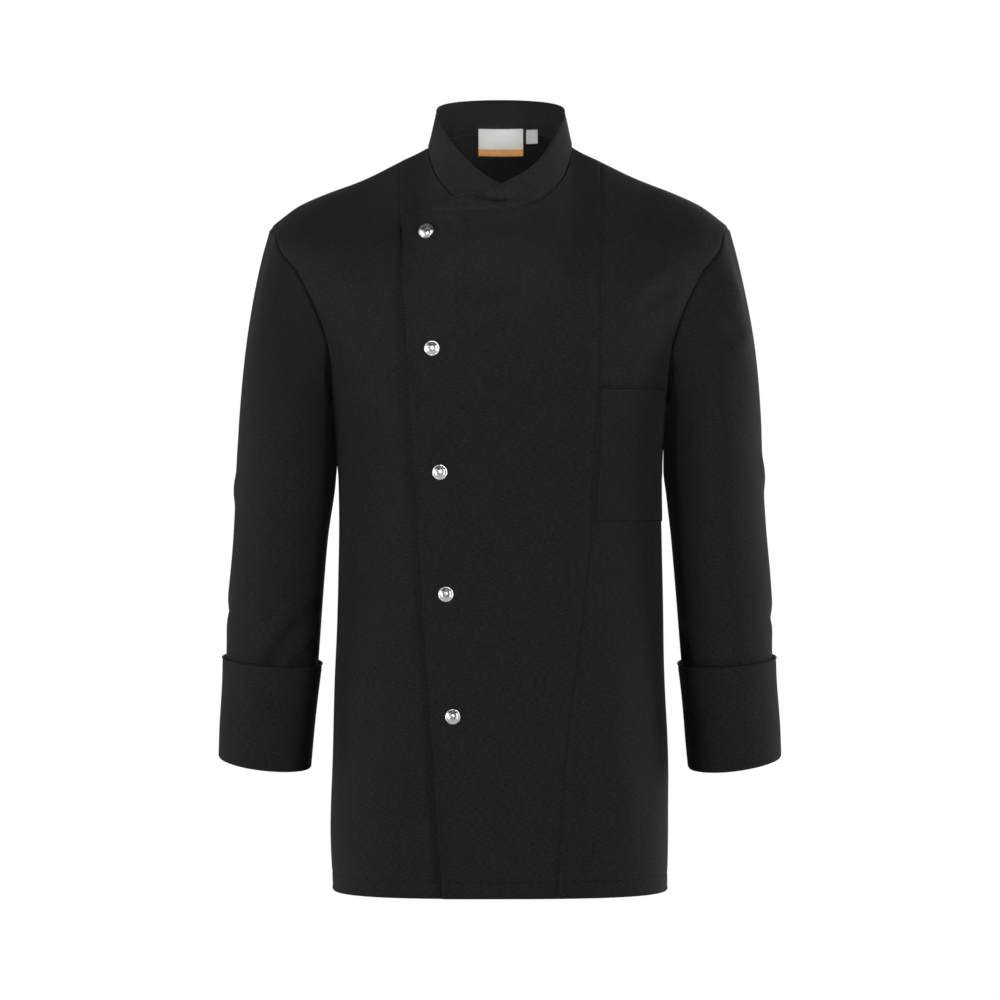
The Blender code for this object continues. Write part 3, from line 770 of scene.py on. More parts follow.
@dataclass
class Body:
    """The fronts, side fronts and backs."""

    form: JacketForm
    low_rows: int = 148
    # Places up the armhole, by share of the rows, in degrees from the underarm.
    turns: tuple = ((0.0, 0.0), (0.2, 40.0), (0.75, 131.0), (1.0, 180.0))
    high_rows: int = 84
    neck_columns: int = 32
    shoulder_columns: int = 8
    side_columns: int = 36
    lap_columns: int = 28
    under_columns: int = 12
    # The share of the lap's width at which the collar's lying end stops.
    collar_end: float = 0.885
    path_steps: int = 60
    hem_stitches: float = 0.017
    side_width: float = 0.120
    lap_width: float = 0.080
    # Steps in millimetres from the lap's free edge.
    lap_steps: tuple = (0.0, *TURNED, 6.4)
    # The panels that their seams draw in less than usual.
    drawn: tuple = (("front_left", 0.8), ("side_front_right", 0.6), ("front_right", 0.5))

    def __post_init__(self) -> None:
        """Work out the rows: a base height and a share of the way from the armpit to the top edge."""
        cut = self.form.cut
        length = cut.armpit - cut.hem
        low = cut.hem + length * graded(self.low_rows, length, TURNED, PLAIN)[:-1]
        self.armpit_row = len(low)
        places = np.linspace(0, 1, self.high_rows + 1)
        self.degrees = np.round(Curve(self.turns, 1)(places), 4)
        self.base = np.concatenate([low, np.full(len(self.degrees), cut.armpit)])
        self.share: dict[bool, np.ndarray] = {}
        self.end: dict[bool, np.ndarray] = {}
        for back in (False, True):
            ends = self.form.armhole(self.degrees, back)
            share = self.form.share_at(ends[:, 2], self.form.shoulder_height(ends[:, 0]))
            share[0], share[-1] = 0.0, 1.0
            self.share[back] = np.concatenate([np.zeros(len(low)), share])
            self.end[back] = np.concatenate([self.form.width(low), ends[:, 0]])

    def seam(self, back: bool, curve: Curve) -> np.ndarray:
        """How far out a panel seam lies on each row."""
        form = self.form
        top = form.shoulder_height(np.array(form.cut.seam_at_shoulder))
        return curve(form.height(self.base, self.share[back], top))

    def neck_turns(self, back: bool) -> np.ndarray:
        """Turns round the neck from the centre line to the shoulder seam."""
        quarter = np.pi / 2
        return quarter * graded(
            self.neck_columns, quarter * self.form.cut.neck_half, SEWN if back else PLAIN, PLAIN
        )

    def middle(self, back: bool, seam: np.ndarray) -> np.ndarray:
        """Rows of points from the centre line to the panel seam."""
        form, cut = self.form, self.form.cut
        neck = (seam * cut.neck_half / cut.seam_at_shoulder)[:, None]
        turn = self.neck_turns(back)
        if back:
            top = cut.neck_back * (1 - np.sin(turn) ** cut.neck_back_power)
        else:
            top = -cut.neck_front * np.cos(turn)
        top[-1] = 0.0
        base, share = self.base[:, None], self.share[back][:, None]
        inner = form.on_form(neck * np.sin(turn), form.height(base, share, top), back)
        width = cut.seam_at_shoulder - cut.neck_half
        steps = graded(self.shoulder_columns, width, PLAIN, PLAIN if back else SEWN)[1:]
        x = neck + (seam[:, None] - neck) * steps
        tops = form.shoulder_height(np.maximum(x, cut.neck_half))
        return np.concatenate([inner, form.on_form(x, form.height(base, share, tops), back)], axis=1)

    def side(self, back: bool, seam: np.ndarray, shares: np.ndarray | None = None) -> np.ndarray:
        """Rows of points from the panel seam to the side seam or the armhole."""
        form = self.form
        step = np.sin(np.pi / 2 * np.linspace(0, 1, self.path_steps + 1))
        x = seam[:, None] + (self.end[back] - seam)[:, None] * step
        z = form.height(self.base[:, None], self.share[back][:, None], form.shoulder_height(x))
        if shares is None:
            shares = graded(self.side_columns, self.side_width, PLAIN if back else SEWN, SEWN)
        return spaced(form.on_form(x, z, back), shares)

    def edge(self, shares: np.ndarray, curve: Curve, corner: float) -> np.ndarray:
        """Rows of points of a front from the centre line towards its free edge, drawn at x above 0."""
        form, cut = self.form, self.form.cut
        base, share = self.base[:, None], self.share[False][:, None]
        reach = curve(form.height(self.base, self.share[False], -cut.neck_front))[:, None]
        top = -cut.neck_front - corner * shares
        return form.on_form(reach * shares, form.height(base, share, top), False)

    def lap_shares(self) -> np.ndarray:
        """Shares of the lap's width, from its free edge to next to the centre line."""
        end = 1 - np.array(self.lap_steps) * MM / self.lap_width
        rest = np.linspace(self.collar_end, 0, self.lap_columns - len(TURNED) + 1)[:-1]
        return np.concatenate([end, rest])

    def sheets(self) -> dict[str, Sheet]:
        """The six panels, their rows running anticlockwise seen from above."""
        form, cut = self.form, self.form.cut
        left, right = self.seam(False, form.left_seam), self.seam(False, form.right_seam)
        lap = self.edge(self.lap_shares(), form.lap_edge, cut.lap_corner) * MIRRORED
        under = np.linspace(0, 1, self.under_columns + 1)[1:]
        under_part = self.edge(under, form.under_edge, cut.under_corner)
        grids = {
            "front_left": form.lifted(np.concatenate([lap, self.middle(False, left)], axis=1), 1),
            "side_front_left": form.lifted(self.side(False, left), 1),
            "front_right": form.lifted(
                np.concatenate([(self.middle(False, right) * MIRRORED)[:, ::-1], under_part], axis=1), -1
            ),
            "side_front_right": form.lifted((self.side(False, right) * MIRRORED)[:, ::-1], -1),
        }
        seam = self.seam(True, form.left_seam)
        half = np.concatenate([self.middle(True, seam), self.side(True, seam)[:, 1:]], axis=1)
        grids["back_left"] = half[:, ::-1]
        grids["back_right"] = half * MIRRORED
        drawn = dict(self.drawn)
        lapping = {"front_left": Edge.LEFT, "front_right": Edge.RIGHT}
        made = {}
        for name, grid in grids.items():
            turned = {Edge.BOTTOM: self.hem_stitches}
            if name in lapping:
                turned[lapping[name]] = 0.0
            made[name] = Sheet(name, grid, frozenset(turned), drawn=drawn.get(name, 1.0), turned=turned)
        return made


@dataclass
class Collar:
    """The stand collar, from the end that laps over, round the neck, to the end beneath."""

    form: JacketForm
    half: float = 0.065
    front: float = 0.0755
    back: float = 0.058
    side_height: float = 0.036
    back_rise: float = 0.018
    back_fullness: float = 0.7
    # Its ends lie this many times as far apart as the fronts that they are sewn to.
    apart: float = 1.6
    # How far the lying end stands proud of the front.
    proud: float = 0.0032
    # The end beneath: how many columns it runs on past the middle, and how much its corner drops.
    past_middle: int = 2
    under_drop: float = 0.004
    steps: int = 30
    drawn: float = 2.3
    edge_stitches: float = 0.0024
    # About how high it stands, and the least height of its lying end.
    stands: float = 0.045
    lies_at_least: float = 0.0015
    # place out from the centre line, and the height there of the collar on top and of the one beneath
    falls: tuple = (
        (0.0000, -0.0450, -0.0425),
        (0.0030, -0.0432, -0.0412),
        (0.0100, -0.0394, -0.0376),
        (0.0203, -0.0336, -0.0305),
        (0.0335, -0.0239, -0.0178),
        (0.0447, -0.0109, -0.0045),
        (0.0540, 0.0045, 0.0090),
        (0.0604, 0.0185, 0.0200),
        (0.0639, 0.0290, 0.0290),
        (0.0650, 0.0360, 0.0360),
    )
    # place out from the centre line, and the height there of the lying end's top edge
    ends: tuple = (
        (0.000, -0.0455),
        (0.010, -0.0512),
        (0.037, -0.0567),
        (0.0546, -0.0628),
        (0.075, -0.0699),
        (0.088, -0.0722),
    )

    def top(self, turn: np.ndarray, back: bool, layer: int) -> np.ndarray:
        """Points of the top edge over the neck, the turn going from the centre line to the side."""
        cosine = np.maximum(0.0, np.cos(turn))
        x = self.half * np.sin(turn)
        if back:
            z = self.side_height + self.back_rise * cosine**self.back_fullness
            return np.stack([x, self.back * cosine, z], axis=-1)
        z = Curve(self.falls, 1 if layer > 0 else 2)(x)
        return self.level_lift(np.stack([x * layer, -self.front * cosine, z], axis=-1), layer)

    def level_lift(self, points: np.ndarray, layer: int) -> np.ndarray:
        """Points of the standing collar moved level into their own layer."""
        moved = points.copy()
        moved[..., 1] -= self.form.lap_step(points, layer) * self.apart
        return moved

    def sheet(self, body: Body, panels: dict[str, Sheet]) -> Sheet:
        """The collar on the panels' top edges."""
        form = self.form
        shares = graded(self.steps, self.stands, SEWN, TURNED)[:, None, None]
        seam = panels["front_left"].points[-1]
        lap = body.lap_shares()
        first = int(np.argmin(np.abs(lap - body.collar_end)))
        lying = seam[first : len(lap)]
        tops = np.maximum(Curve(self.ends, 1)(-lying[:, 0]), lying[:, 2] + self.lies_at_least)
        z = lying[:, 2] + (tops - lying[:, 2]) * shares[..., 0]
        points = form.on_form(np.broadcast_to(lying[:, 0], z.shape), z, False)
        points = form.lifted(points, 1) + form.outwards(points[..., 0], points[..., 2]) * self.proud * shares
        points[0] = lying
        fine = {back: body.neck_turns(back) for back in (False, True)}
        count = {back: len(turn) for back, turn in fine.items()}
        low = [seam[len(lap) : len(lap) + count[False]]]
        high = [self.top(fine[False], False, 1)]
        back_left = panels["back_left"].points[-1]
        low.append(back_left[-count[True] :][1:])
        high.append(self.top(fine[True][::-1][1:], True, 1))
        back_right = panels["back_right"].points[-1]
        low.append(back_right[1 : count[True]])
        high.append(self.top(fine[True][1:], True, 1) * MIRRORED)
        under = panels["front_right"].points[-1]
        start = len(under) - body.under_columns - count[False]
        low.append(under[start + 1 : start + count[False]])
        high.append(self.top(fine[False][::-1][1:], False, -1))
        end = under[start + count[False] + self.past_middle]
        across = self.top(np.arcsin(np.array([end[0] / self.half])), False, 1)[0]
        corner = self.level_lift(np.array([[across[0], -self.front, across[2] - self.under_drop]]), -1)
        low.append(end[None])
        high.append(corner)
        seam_line, top_line = np.concatenate(low), np.concatenate(high)
        standing = seam_line + (top_line - seam_line) * shares
        grid = np.concatenate([points, standing], axis=1)
        free = frozenset({Edge.LEFT, Edge.RIGHT, Edge.TOP})
        return Sheet("collar", grid, free, drawn=self.drawn, turned={Edge.TOP: self.edge_stitches})


@dataclass
class Sleeve:
    """The left sleeve and its turned-back cuff, and their mirrored pair."""

    form: JacketForm
    top: float = -0.300
    # The ways in which it leaves the armhole, and hangs where its ovals begin.
    leaves: tuple = (0.33, 0.0, -0.944)
    hangs: tuple = (0.03, 0.0, -1.0)
    head_length: float = 0.200
    head_rows: int = 60
    low_rows: int = 84
    cuff_rows: int = 30
    # height, place across, half width, half depth, rise outwards, rise backwards
    ovals: tuple = (
        (-0.631, 0.2418, 0.0455, 0.0520, 0.125, 0.120),
        (-0.595, 0.2398, 0.0467, 0.0535, 0.105, 0.105),
        (-0.528, 0.2342, 0.0475, 0.0575, 0.070, 0.080),
        (-0.467, 0.2308, 0.0483, 0.0620, 0.045, 0.050),
        (-0.405, 0.2260, 0.0490, 0.0670, 0.020, 0.020),
        (-0.343, 0.2210, 0.0510, 0.0720, 0.000, 0.000),
        (-0.300, 0.2195, 0.0500, 0.0750, 0.000, 0.000),
    )
    # The cuff's lowest fold: how far each line round it stands off the sleeve, and its height.
    cuff_fold: tuple = (
        (-0.0032, -0.6310),
        (-0.0020, -0.6326),
        (-0.0002, -0.6333),
        (0.0014, -0.6328),
        (0.0023, -0.6312),
    )
    cuff_top: float = -0.528
    cuff_length: float = 0.103
    cuff_loose: float = 0.0023
    cuff_flare: float = 0.0018
    drawn: float = 2.0
    edge_stitches: float = 0.0030

    def __post_init__(self) -> None:
        """Read the ovals."""
        self.curves = [Curve(self.ovals, k) for k in range(1, 6)]

    def oval(
        self, z: np.ndarray, turn: np.ndarray, back: np.ndarray, grow: np.ndarray | float = 0.0
    ) -> np.ndarray:
        """Points on the sleeve's oval, the turn going from the inner side to the outer side."""
        out, wide, deep, rise_out, rise_back = (curve(z) for curve in self.curves)
        across = -(wide + grow) * np.cos(turn)
        along = (deep + grow) * np.sin(turn) * np.where(back, 1.0, -1.0)
        x, y, height = np.broadcast_arrays(out + across, along, z + rise_out * across + rise_back * along)
        return np.stack([x, y, height], axis=-1)

    def round(self, degrees: np.ndarray) -> tuple[np.ndarray, np.ndarray]:
        """The turns of the columns round the sleeve, and which of them lie behind."""
        turns = np.radians(np.concatenate([degrees, degrees[::-1][1:]]))
        return turns, np.arange(len(turns)) >= len(degrees)

    def sheet(self, degrees: np.ndarray) -> Sheet:
        """The left sleeve from its end in the cuff to the armhole."""
        turns, back = self.round(degrees)
        heights = np.linspace(self.ovals[0][0], self.top, self.low_rows + 1)[:-1, None]
        low = self.oval(heights, turns, back)
        start = self.oval(np.array([[self.top]]), turns, back)[0]
        front, rear = self.form.armhole(degrees, False), self.form.armhole(degrees, True)
        end = np.concatenate([front, rear[::-1][1:]])
        third = np.linalg.norm(end - start, axis=-1, keepdims=True) / 3
        near_start, near_end = start - np.array(self.hangs) * third, end + np.array(self.leaves) * third
        t = graded(self.head_rows, self.head_length, PLAIN, SEWN)[:, None, None]
        head = (
            start * (1 - t) ** 3
            + near_start * 3 * t * (1 - t) ** 2
            + near_end * 3 * t * t * (1 - t)
            + end * t**3
        )
        points = np.concatenate([low, head])
        return Sheet("sleeve_left", points, frozenset({Edge.BOTTOM}), closed=True, drawn=self.drawn)

    def cuff(self, degrees: np.ndarray) -> Sheet:
        """The left cuff, folded under the sleeve's end and turned up outside it."""
        turns, back = self.round(degrees)
        rows = [self.oval(np.array(z), turns, back, grow) for grow, z in self.cuff_fold]
        base = self.cuff_fold[-1][1]
        for share in graded(self.cuff_rows, self.cuff_length, PLAIN, TURNED)[1:]:
            z = base + (self.cuff_top - base) * share
            rows.append(self.oval(np.array(z), turns, back, self.cuff_loose + self.cuff_flare * share**3))
        free = frozenset({Edge.BOTTOM, Edge.TOP})
        return Sheet("cuff_left", np.array(rows), free, closed=True, turned={Edge.TOP: self.edge_stitches})


def mirror(sheet: Sheet, name: str) -> Sheet:
    """The same sheet on the other side of the jacket, its face still outwards."""
    points = (sheet.points * MIRRORED)[:, ::-1]
    return Sheet(name, points, sheet.free, sheet.closed, drawn=sheet.drawn, turned=sheet.turned)


@dataclass
class Pocket:
    """The patch pocket on the left breast, caught in the panel seam."""

    body: Body
    # Its sides, as shares of the way from the panel seam to the armhole.
    left: float = 0.022
    right: float = 0.84
    # The height of its bottom, and how far round the armhole its mouth lies, in degrees.
    bottom: float = -0.385
    top_turn: float = 37.5
    width: float = 0.080
    length: float = 0.135
    edge_stitches: float = 1.2 * MM
    columns: int = 26
    rows: int = 44
    cloth: float = 1.2 * MM
    gap: float = 0.4 * MM

    def sheet(self) -> Sheet:
        """The pocket, laid on the side front."""
        shares = self.left + (self.right - self.left) * graded(self.columns, self.width, TURNED, TURNED)
        form = self.body.form
        seam = self.body.seam(False, form.left_seam)
        rows = form.lifted(self.body.side(False, seam, shares), 1)
        last = self.body.armpit_row + int(np.argmin(np.abs(self.body.degrees - self.top_turn)))
        first = int(np.argmin(np.abs(self.body.base - self.bottom)))
        heights = graded(self.rows, self.length, TURNED, TURNED)
        columns = spaced(rows[first : last + 1].transpose(1, 0, 2), heights)
        return Sheet(
            "chest_pocket",
            columns.transpose(1, 0, 2),
            frozenset({Edge.TOP}),
            proud=self.cloth + self.gap,
            drawn=0.9,
            turned={Edge.TOP: 0.0},
        )


class Dressing:
    """Raises folds and seam dips on the sheets, alike on both sides of every seam."""

    # A seam draws the cloth in, and beside the seam it puffs up.
    DIP = 1.0 * MM
    DIP_WIDTH = 1.2 * MM
    PUFF = 0.28 * MM
    PUFF_AT = 5.0 * MM
    PUFF_WIDTH = 3.5 * MM
    # A turned edge rolls out, and its stitches draw in a groove, wider the further in they lie.
    ROLL = 0.55 * MM
    ROLL_AT = 0.9 * MM
    GROOVE = 0.50 * MM
    GROOVE_WIDTH = 0.8 * MM
    GROOVE_WIDENS = 0.08

    def __init__(self, folds: FoldField) -> None:
        """Keep the folds."""
        self.folds = folds

    def shape(self, sheets: Sequence[Sheet]) -> None:
        """Move every point of the sheets, which share the points along their seams."""
        points = np.concatenate([s.points.reshape(-1, 3) for s in sheets])
        places = np.round(points / (2 * SAME_PLACE)).astype(np.int64)
        same = np.unique(places, axis=0, return_inverse=True)[1].reshape(-1)
        sizes = [s.points.shape[0] * s.points.shape[1] for s in sheets]
        names = np.repeat([s.name for s in sheets], sizes)
        normals = self.shared(same, np.concatenate([s.normals.reshape(-1, 3) for s in sheets]))
        raised = self.folds.heights(names, points, normals)
        raised += np.concatenate([self.relief(s).reshape(-1) for s in sheets])
        raised = (np.bincount(same, raised) / np.bincount(same))[same]
        ends = np.cumsum(sizes)[:-1]
        for sheet, moved in zip(sheets, np.split(points + normals * raised[:, None], ends)):
            sheet.points = moved.reshape(sheet.points.shape)
            sheet.face()
        normals = self.shared(same, np.concatenate([s.normals.reshape(-1, 3) for s in sheets]))
        for sheet, facing in zip(sheets, np.split(normals, ends)):
            sheet.normals = facing.reshape(sheet.points.shape)

    def relief(self, sheet: Sheet) -> np.ndarray:
        """How far seams draw a sheet in, and its turned edges roll out in front of their stitches."""
        distance = sheet.seam_distance()
        raised = self.PUFF * np.exp(-(((distance - self.PUFF_AT) / self.PUFF_WIDTH) ** 2))
        raised -= sheet.drawn * self.DIP * np.exp(-((distance / self.DIP_WIDTH) ** 2))
        for edge, stitches in sheet.turned.items():
            distance = sheet.along(edge)
            width = self.GROOVE_WIDTH + self.GROOVE_WIDENS * stitches
            raised += self.ROLL * np.exp(-(((distance - self.ROLL_AT) / self.ROLL_AT) ** 2))
            if stitches:
                raised -= self.GROOVE * np.exp(-(((distance - stitches) / width) ** 2))
        return raised

    @staticmethod
    def shared(same: np.ndarray, normals: np.ndarray) -> np.ndarray:
        """The mean direction out at points that lie in one place."""
        total = np.stack([np.bincount(same, normals[:, k]) for k in range(3)], axis=-1)
        return unit(total)[same]


@dataclass
class Stitching:
    """Lines of lockstitch, each stitch a small pad of thread on the cloth."""

    material: bpy.types.Material
    pitch: float = 3.0 * MM
    length: float = 2.3 * MM
    width: float = 0.55 * MM
    height: float = 0.35 * MM
    # How far each stitch lies off the cloth, and how far ahead its direction is read.
    lift: float = 0.05 * MM
    ahead: float = 0.5 * MM

    def sew(self, name: str, lines: Sequence[tuple[np.ndarray, np.ndarray]]) -> bpy.types.Object:
        """Sew along lines of points and of directions out of the cloth."""
        shape = bmesh.new()
        for points, normals in lines:
            run = distances(points)
            places = np.arange(self.pitch, run[-1] - self.pitch / 2, self.pitch)
            at, ahead = (read_along(places + step, run, points) for step in (0.0, self.ahead))
            out = unit(read_along(places, run, normals))
            for place, forward, facing in zip(at, unit(ahead - at), out):
                self.stitch(shape, place, forward, facing)
        made = Workshop.add(name, shape, self.material)
        return made

    def stitch(
        self, shape: bmesh.types.BMesh, place: np.ndarray, forward: np.ndarray, facing: np.ndarray
    ) -> None:
        """Add one stitch."""
        side = unit(np.cross(facing, forward))
        across = np.column_stack(
            [forward * self.length / 2, side * self.width / 2, np.cross(forward, side) * self.height / 2]
        )
        turned = Matrix(across.tolist()).to_4x4()
        turned.translation = Vector((place + facing * self.lift).tolist())
        bmesh.ops.create_icosphere(shape, subdivisions=1, radius=1.0, matrix=turned)


@dataclass
class Studs:
    """Five press studs with domed, rimmed caps."""

    material: bpy.types.Material
    # radius and height of the cap's outline, from its rim to its crown, in millimetres
    outline: tuple = (
        (7.3, 0.0),
        (7.6, 0.25),
        (7.65, 0.6),
        (7.45, 0.95),
        (7.05, 1.08),
        (6.7, 1.0),
        (6.5, 1.05),
        (6.1, 1.5),
        (5.2, 2.1),
        (4.0, 2.6),
        (2.6, 2.95),
        (1.2, 3.12),
        (0.0, 3.16),
    )
    around: int = 48
    # How far each cap turns from the cloth's own slope to face the front.
    squared: float = 1.5
    # The share of the cloth beneath, in percent, that lies below the rim, and how far the rim presses in.
    seated: float = 92.0
    sunk: float = 0.2 * MM
    # How much lower than its solid each cap sits.
    lower: float = 1.2 * MM

    def make(self, node: str, cloth: Sheet) -> bpy.types.Object:
        """A stud's cap, at its solid's place and seated on the cloth beneath it."""
        low, high = (np.array(corner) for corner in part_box(node))
        middle = (low + high) / 2 - np.array((0.0, 0.0, self.lower))
        points, normals = cloth.points.reshape(-1, 3), cloth.normals.reshape(-1, 3)
        beneath = np.linalg.norm((points - middle)[:, [0, 2]], axis=1) < self.outline[0][0] * MM
        facing = unit(unit(normals[beneath].mean(axis=0)) + np.array((0.0, -self.squared, 0.0)))
        levels = (points[beneath] - middle) @ facing
        base = middle.copy()
        base[1] += (np.percentile(levels, self.seated) - self.sunk) / facing[1]
        shape = bmesh.new()
        verts = [shape.verts.new((r * MM, 0.0, h * MM)) for r, h in self.outline]
        edges = [shape.edges.new(pair) for pair in zip(verts, verts[1:])]
        bmesh.ops.spin(
            shape,
            geom=verts + edges,
            axis=(0, 0, 1),
            cent=(0, 0, 0),
            angle=2 * math.pi,
            steps=self.around,
            use_merge=True,
        )
        bmesh.ops.remove_doubles(shape, verts=shape.verts, dist=SAME_PLACE)
        bmesh.ops.holes_fill(shape, edges=shape.edges, sides=0)
        bmesh.ops.recalc_face_normals(shape, faces=shape.faces)
        turned = Vector(facing.tolist()).to_track_quat("Z", "Y").to_matrix().to_4x4()
        turned.translation = Vector(base.tolist())
        bmesh.ops.transform(shape, matrix=turned, verts=shape.verts)
        made = Workshop.add(f"{node}_cap", shape, self.material)
        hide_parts(node)
        return made


@dataclass
class Label:
    """A label caught in the seam at the back of the neck, hanging inside."""

    node: str
    drop: float
    top: float = 0.0229
    columns: int = 44
    rows: int = 14
    cloth: float = 0.6 * MM
    margin: float = 0.2 * MM
    gap: float = 0.4 * MM
    # How far behind its solid's front face it may hang.
    furthest: float = 3.0 * MM
    # The heat-cut top edge is pinked.
    teeth: float = 0.0

    def sheet(self, behind: Sequence[Sheet]) -> Sheet:
        """The label's front face, felt on the cloth behind it and hung straight.

        Args:
            behind: the dressed sheets whose inner faces it lies on.

        Returns:
            The label's sheet.
        """
        corners, faces = [], []
        for cloth in behind:
            rows, columns = cloth.points.shape[:2]
            first = np.arange(rows - 1)[:, None] * columns + np.arange(columns - 1) + len(corners)
            quads = np.stack([first, first + 1, first + columns + 1, first + columns], axis=-1)
            faces.extend(quads.reshape(-1, 4).tolist())
            corners.extend((cloth.points - cloth.normals * Workshop.CLOTH).reshape(-1, 3).tolist())
        tree = BVHTree.FromPolygons(corners, faces)
        low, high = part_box(self.node)
        across = np.linspace(low[0] + self.margin, high[0] - self.margin, self.columns + 1)
        teeth = np.where(np.arange(self.columns + 1) % 2, self.teeth, 0.0)
        heights = self.top - self.drop * (1 - np.linspace(0, 1, self.rows + 1))
        back = Vector((0, 1, 0))
        felt = [[tree.ray_cast(Vector((x, 0.0, z)), back)[0].y for x in across] for z in heights]
        y = np.minimum(np.min(felt, axis=0) - self.gap - self.cloth, low[1] + self.furthest)
        grid = np.array([np.stack([across, y, np.full_like(across, z)], axis=-1) for z in heights])
        grid[-1, :, 2] += teeth
        return Sheet(self.node, grid, frozenset(Edge))


@dataclass(frozen=True)
class Softbox:
    """A rectangular soft light: its place, what it faces, its size, its power in watts, its grid's angle."""

    name: str
    place: tuple[float, float, float]
    aim: tuple[float, float, float]
    size: tuple[float, float]
    power: float
    spread: float = 180.0

    def hang(self) -> None:
        """Add the light."""
        data = bpy.data.lights.new(self.name, "AREA")
        data.shape = "RECTANGLE"
        data.size, data.size_y = self.size
        data.energy = self.power
        data.spread = math.radians(self.spread)
        light = bpy.data.objects.new(self.name, data)
        light.location = self.place
        light.rotation_mode = "QUATERNION"
        light.rotation_quaternion = (Vector(self.aim) - Vector(self.place)).to_track_quat("-Z", "Y")
        bpy.context.scene.collection.objects.link(light)


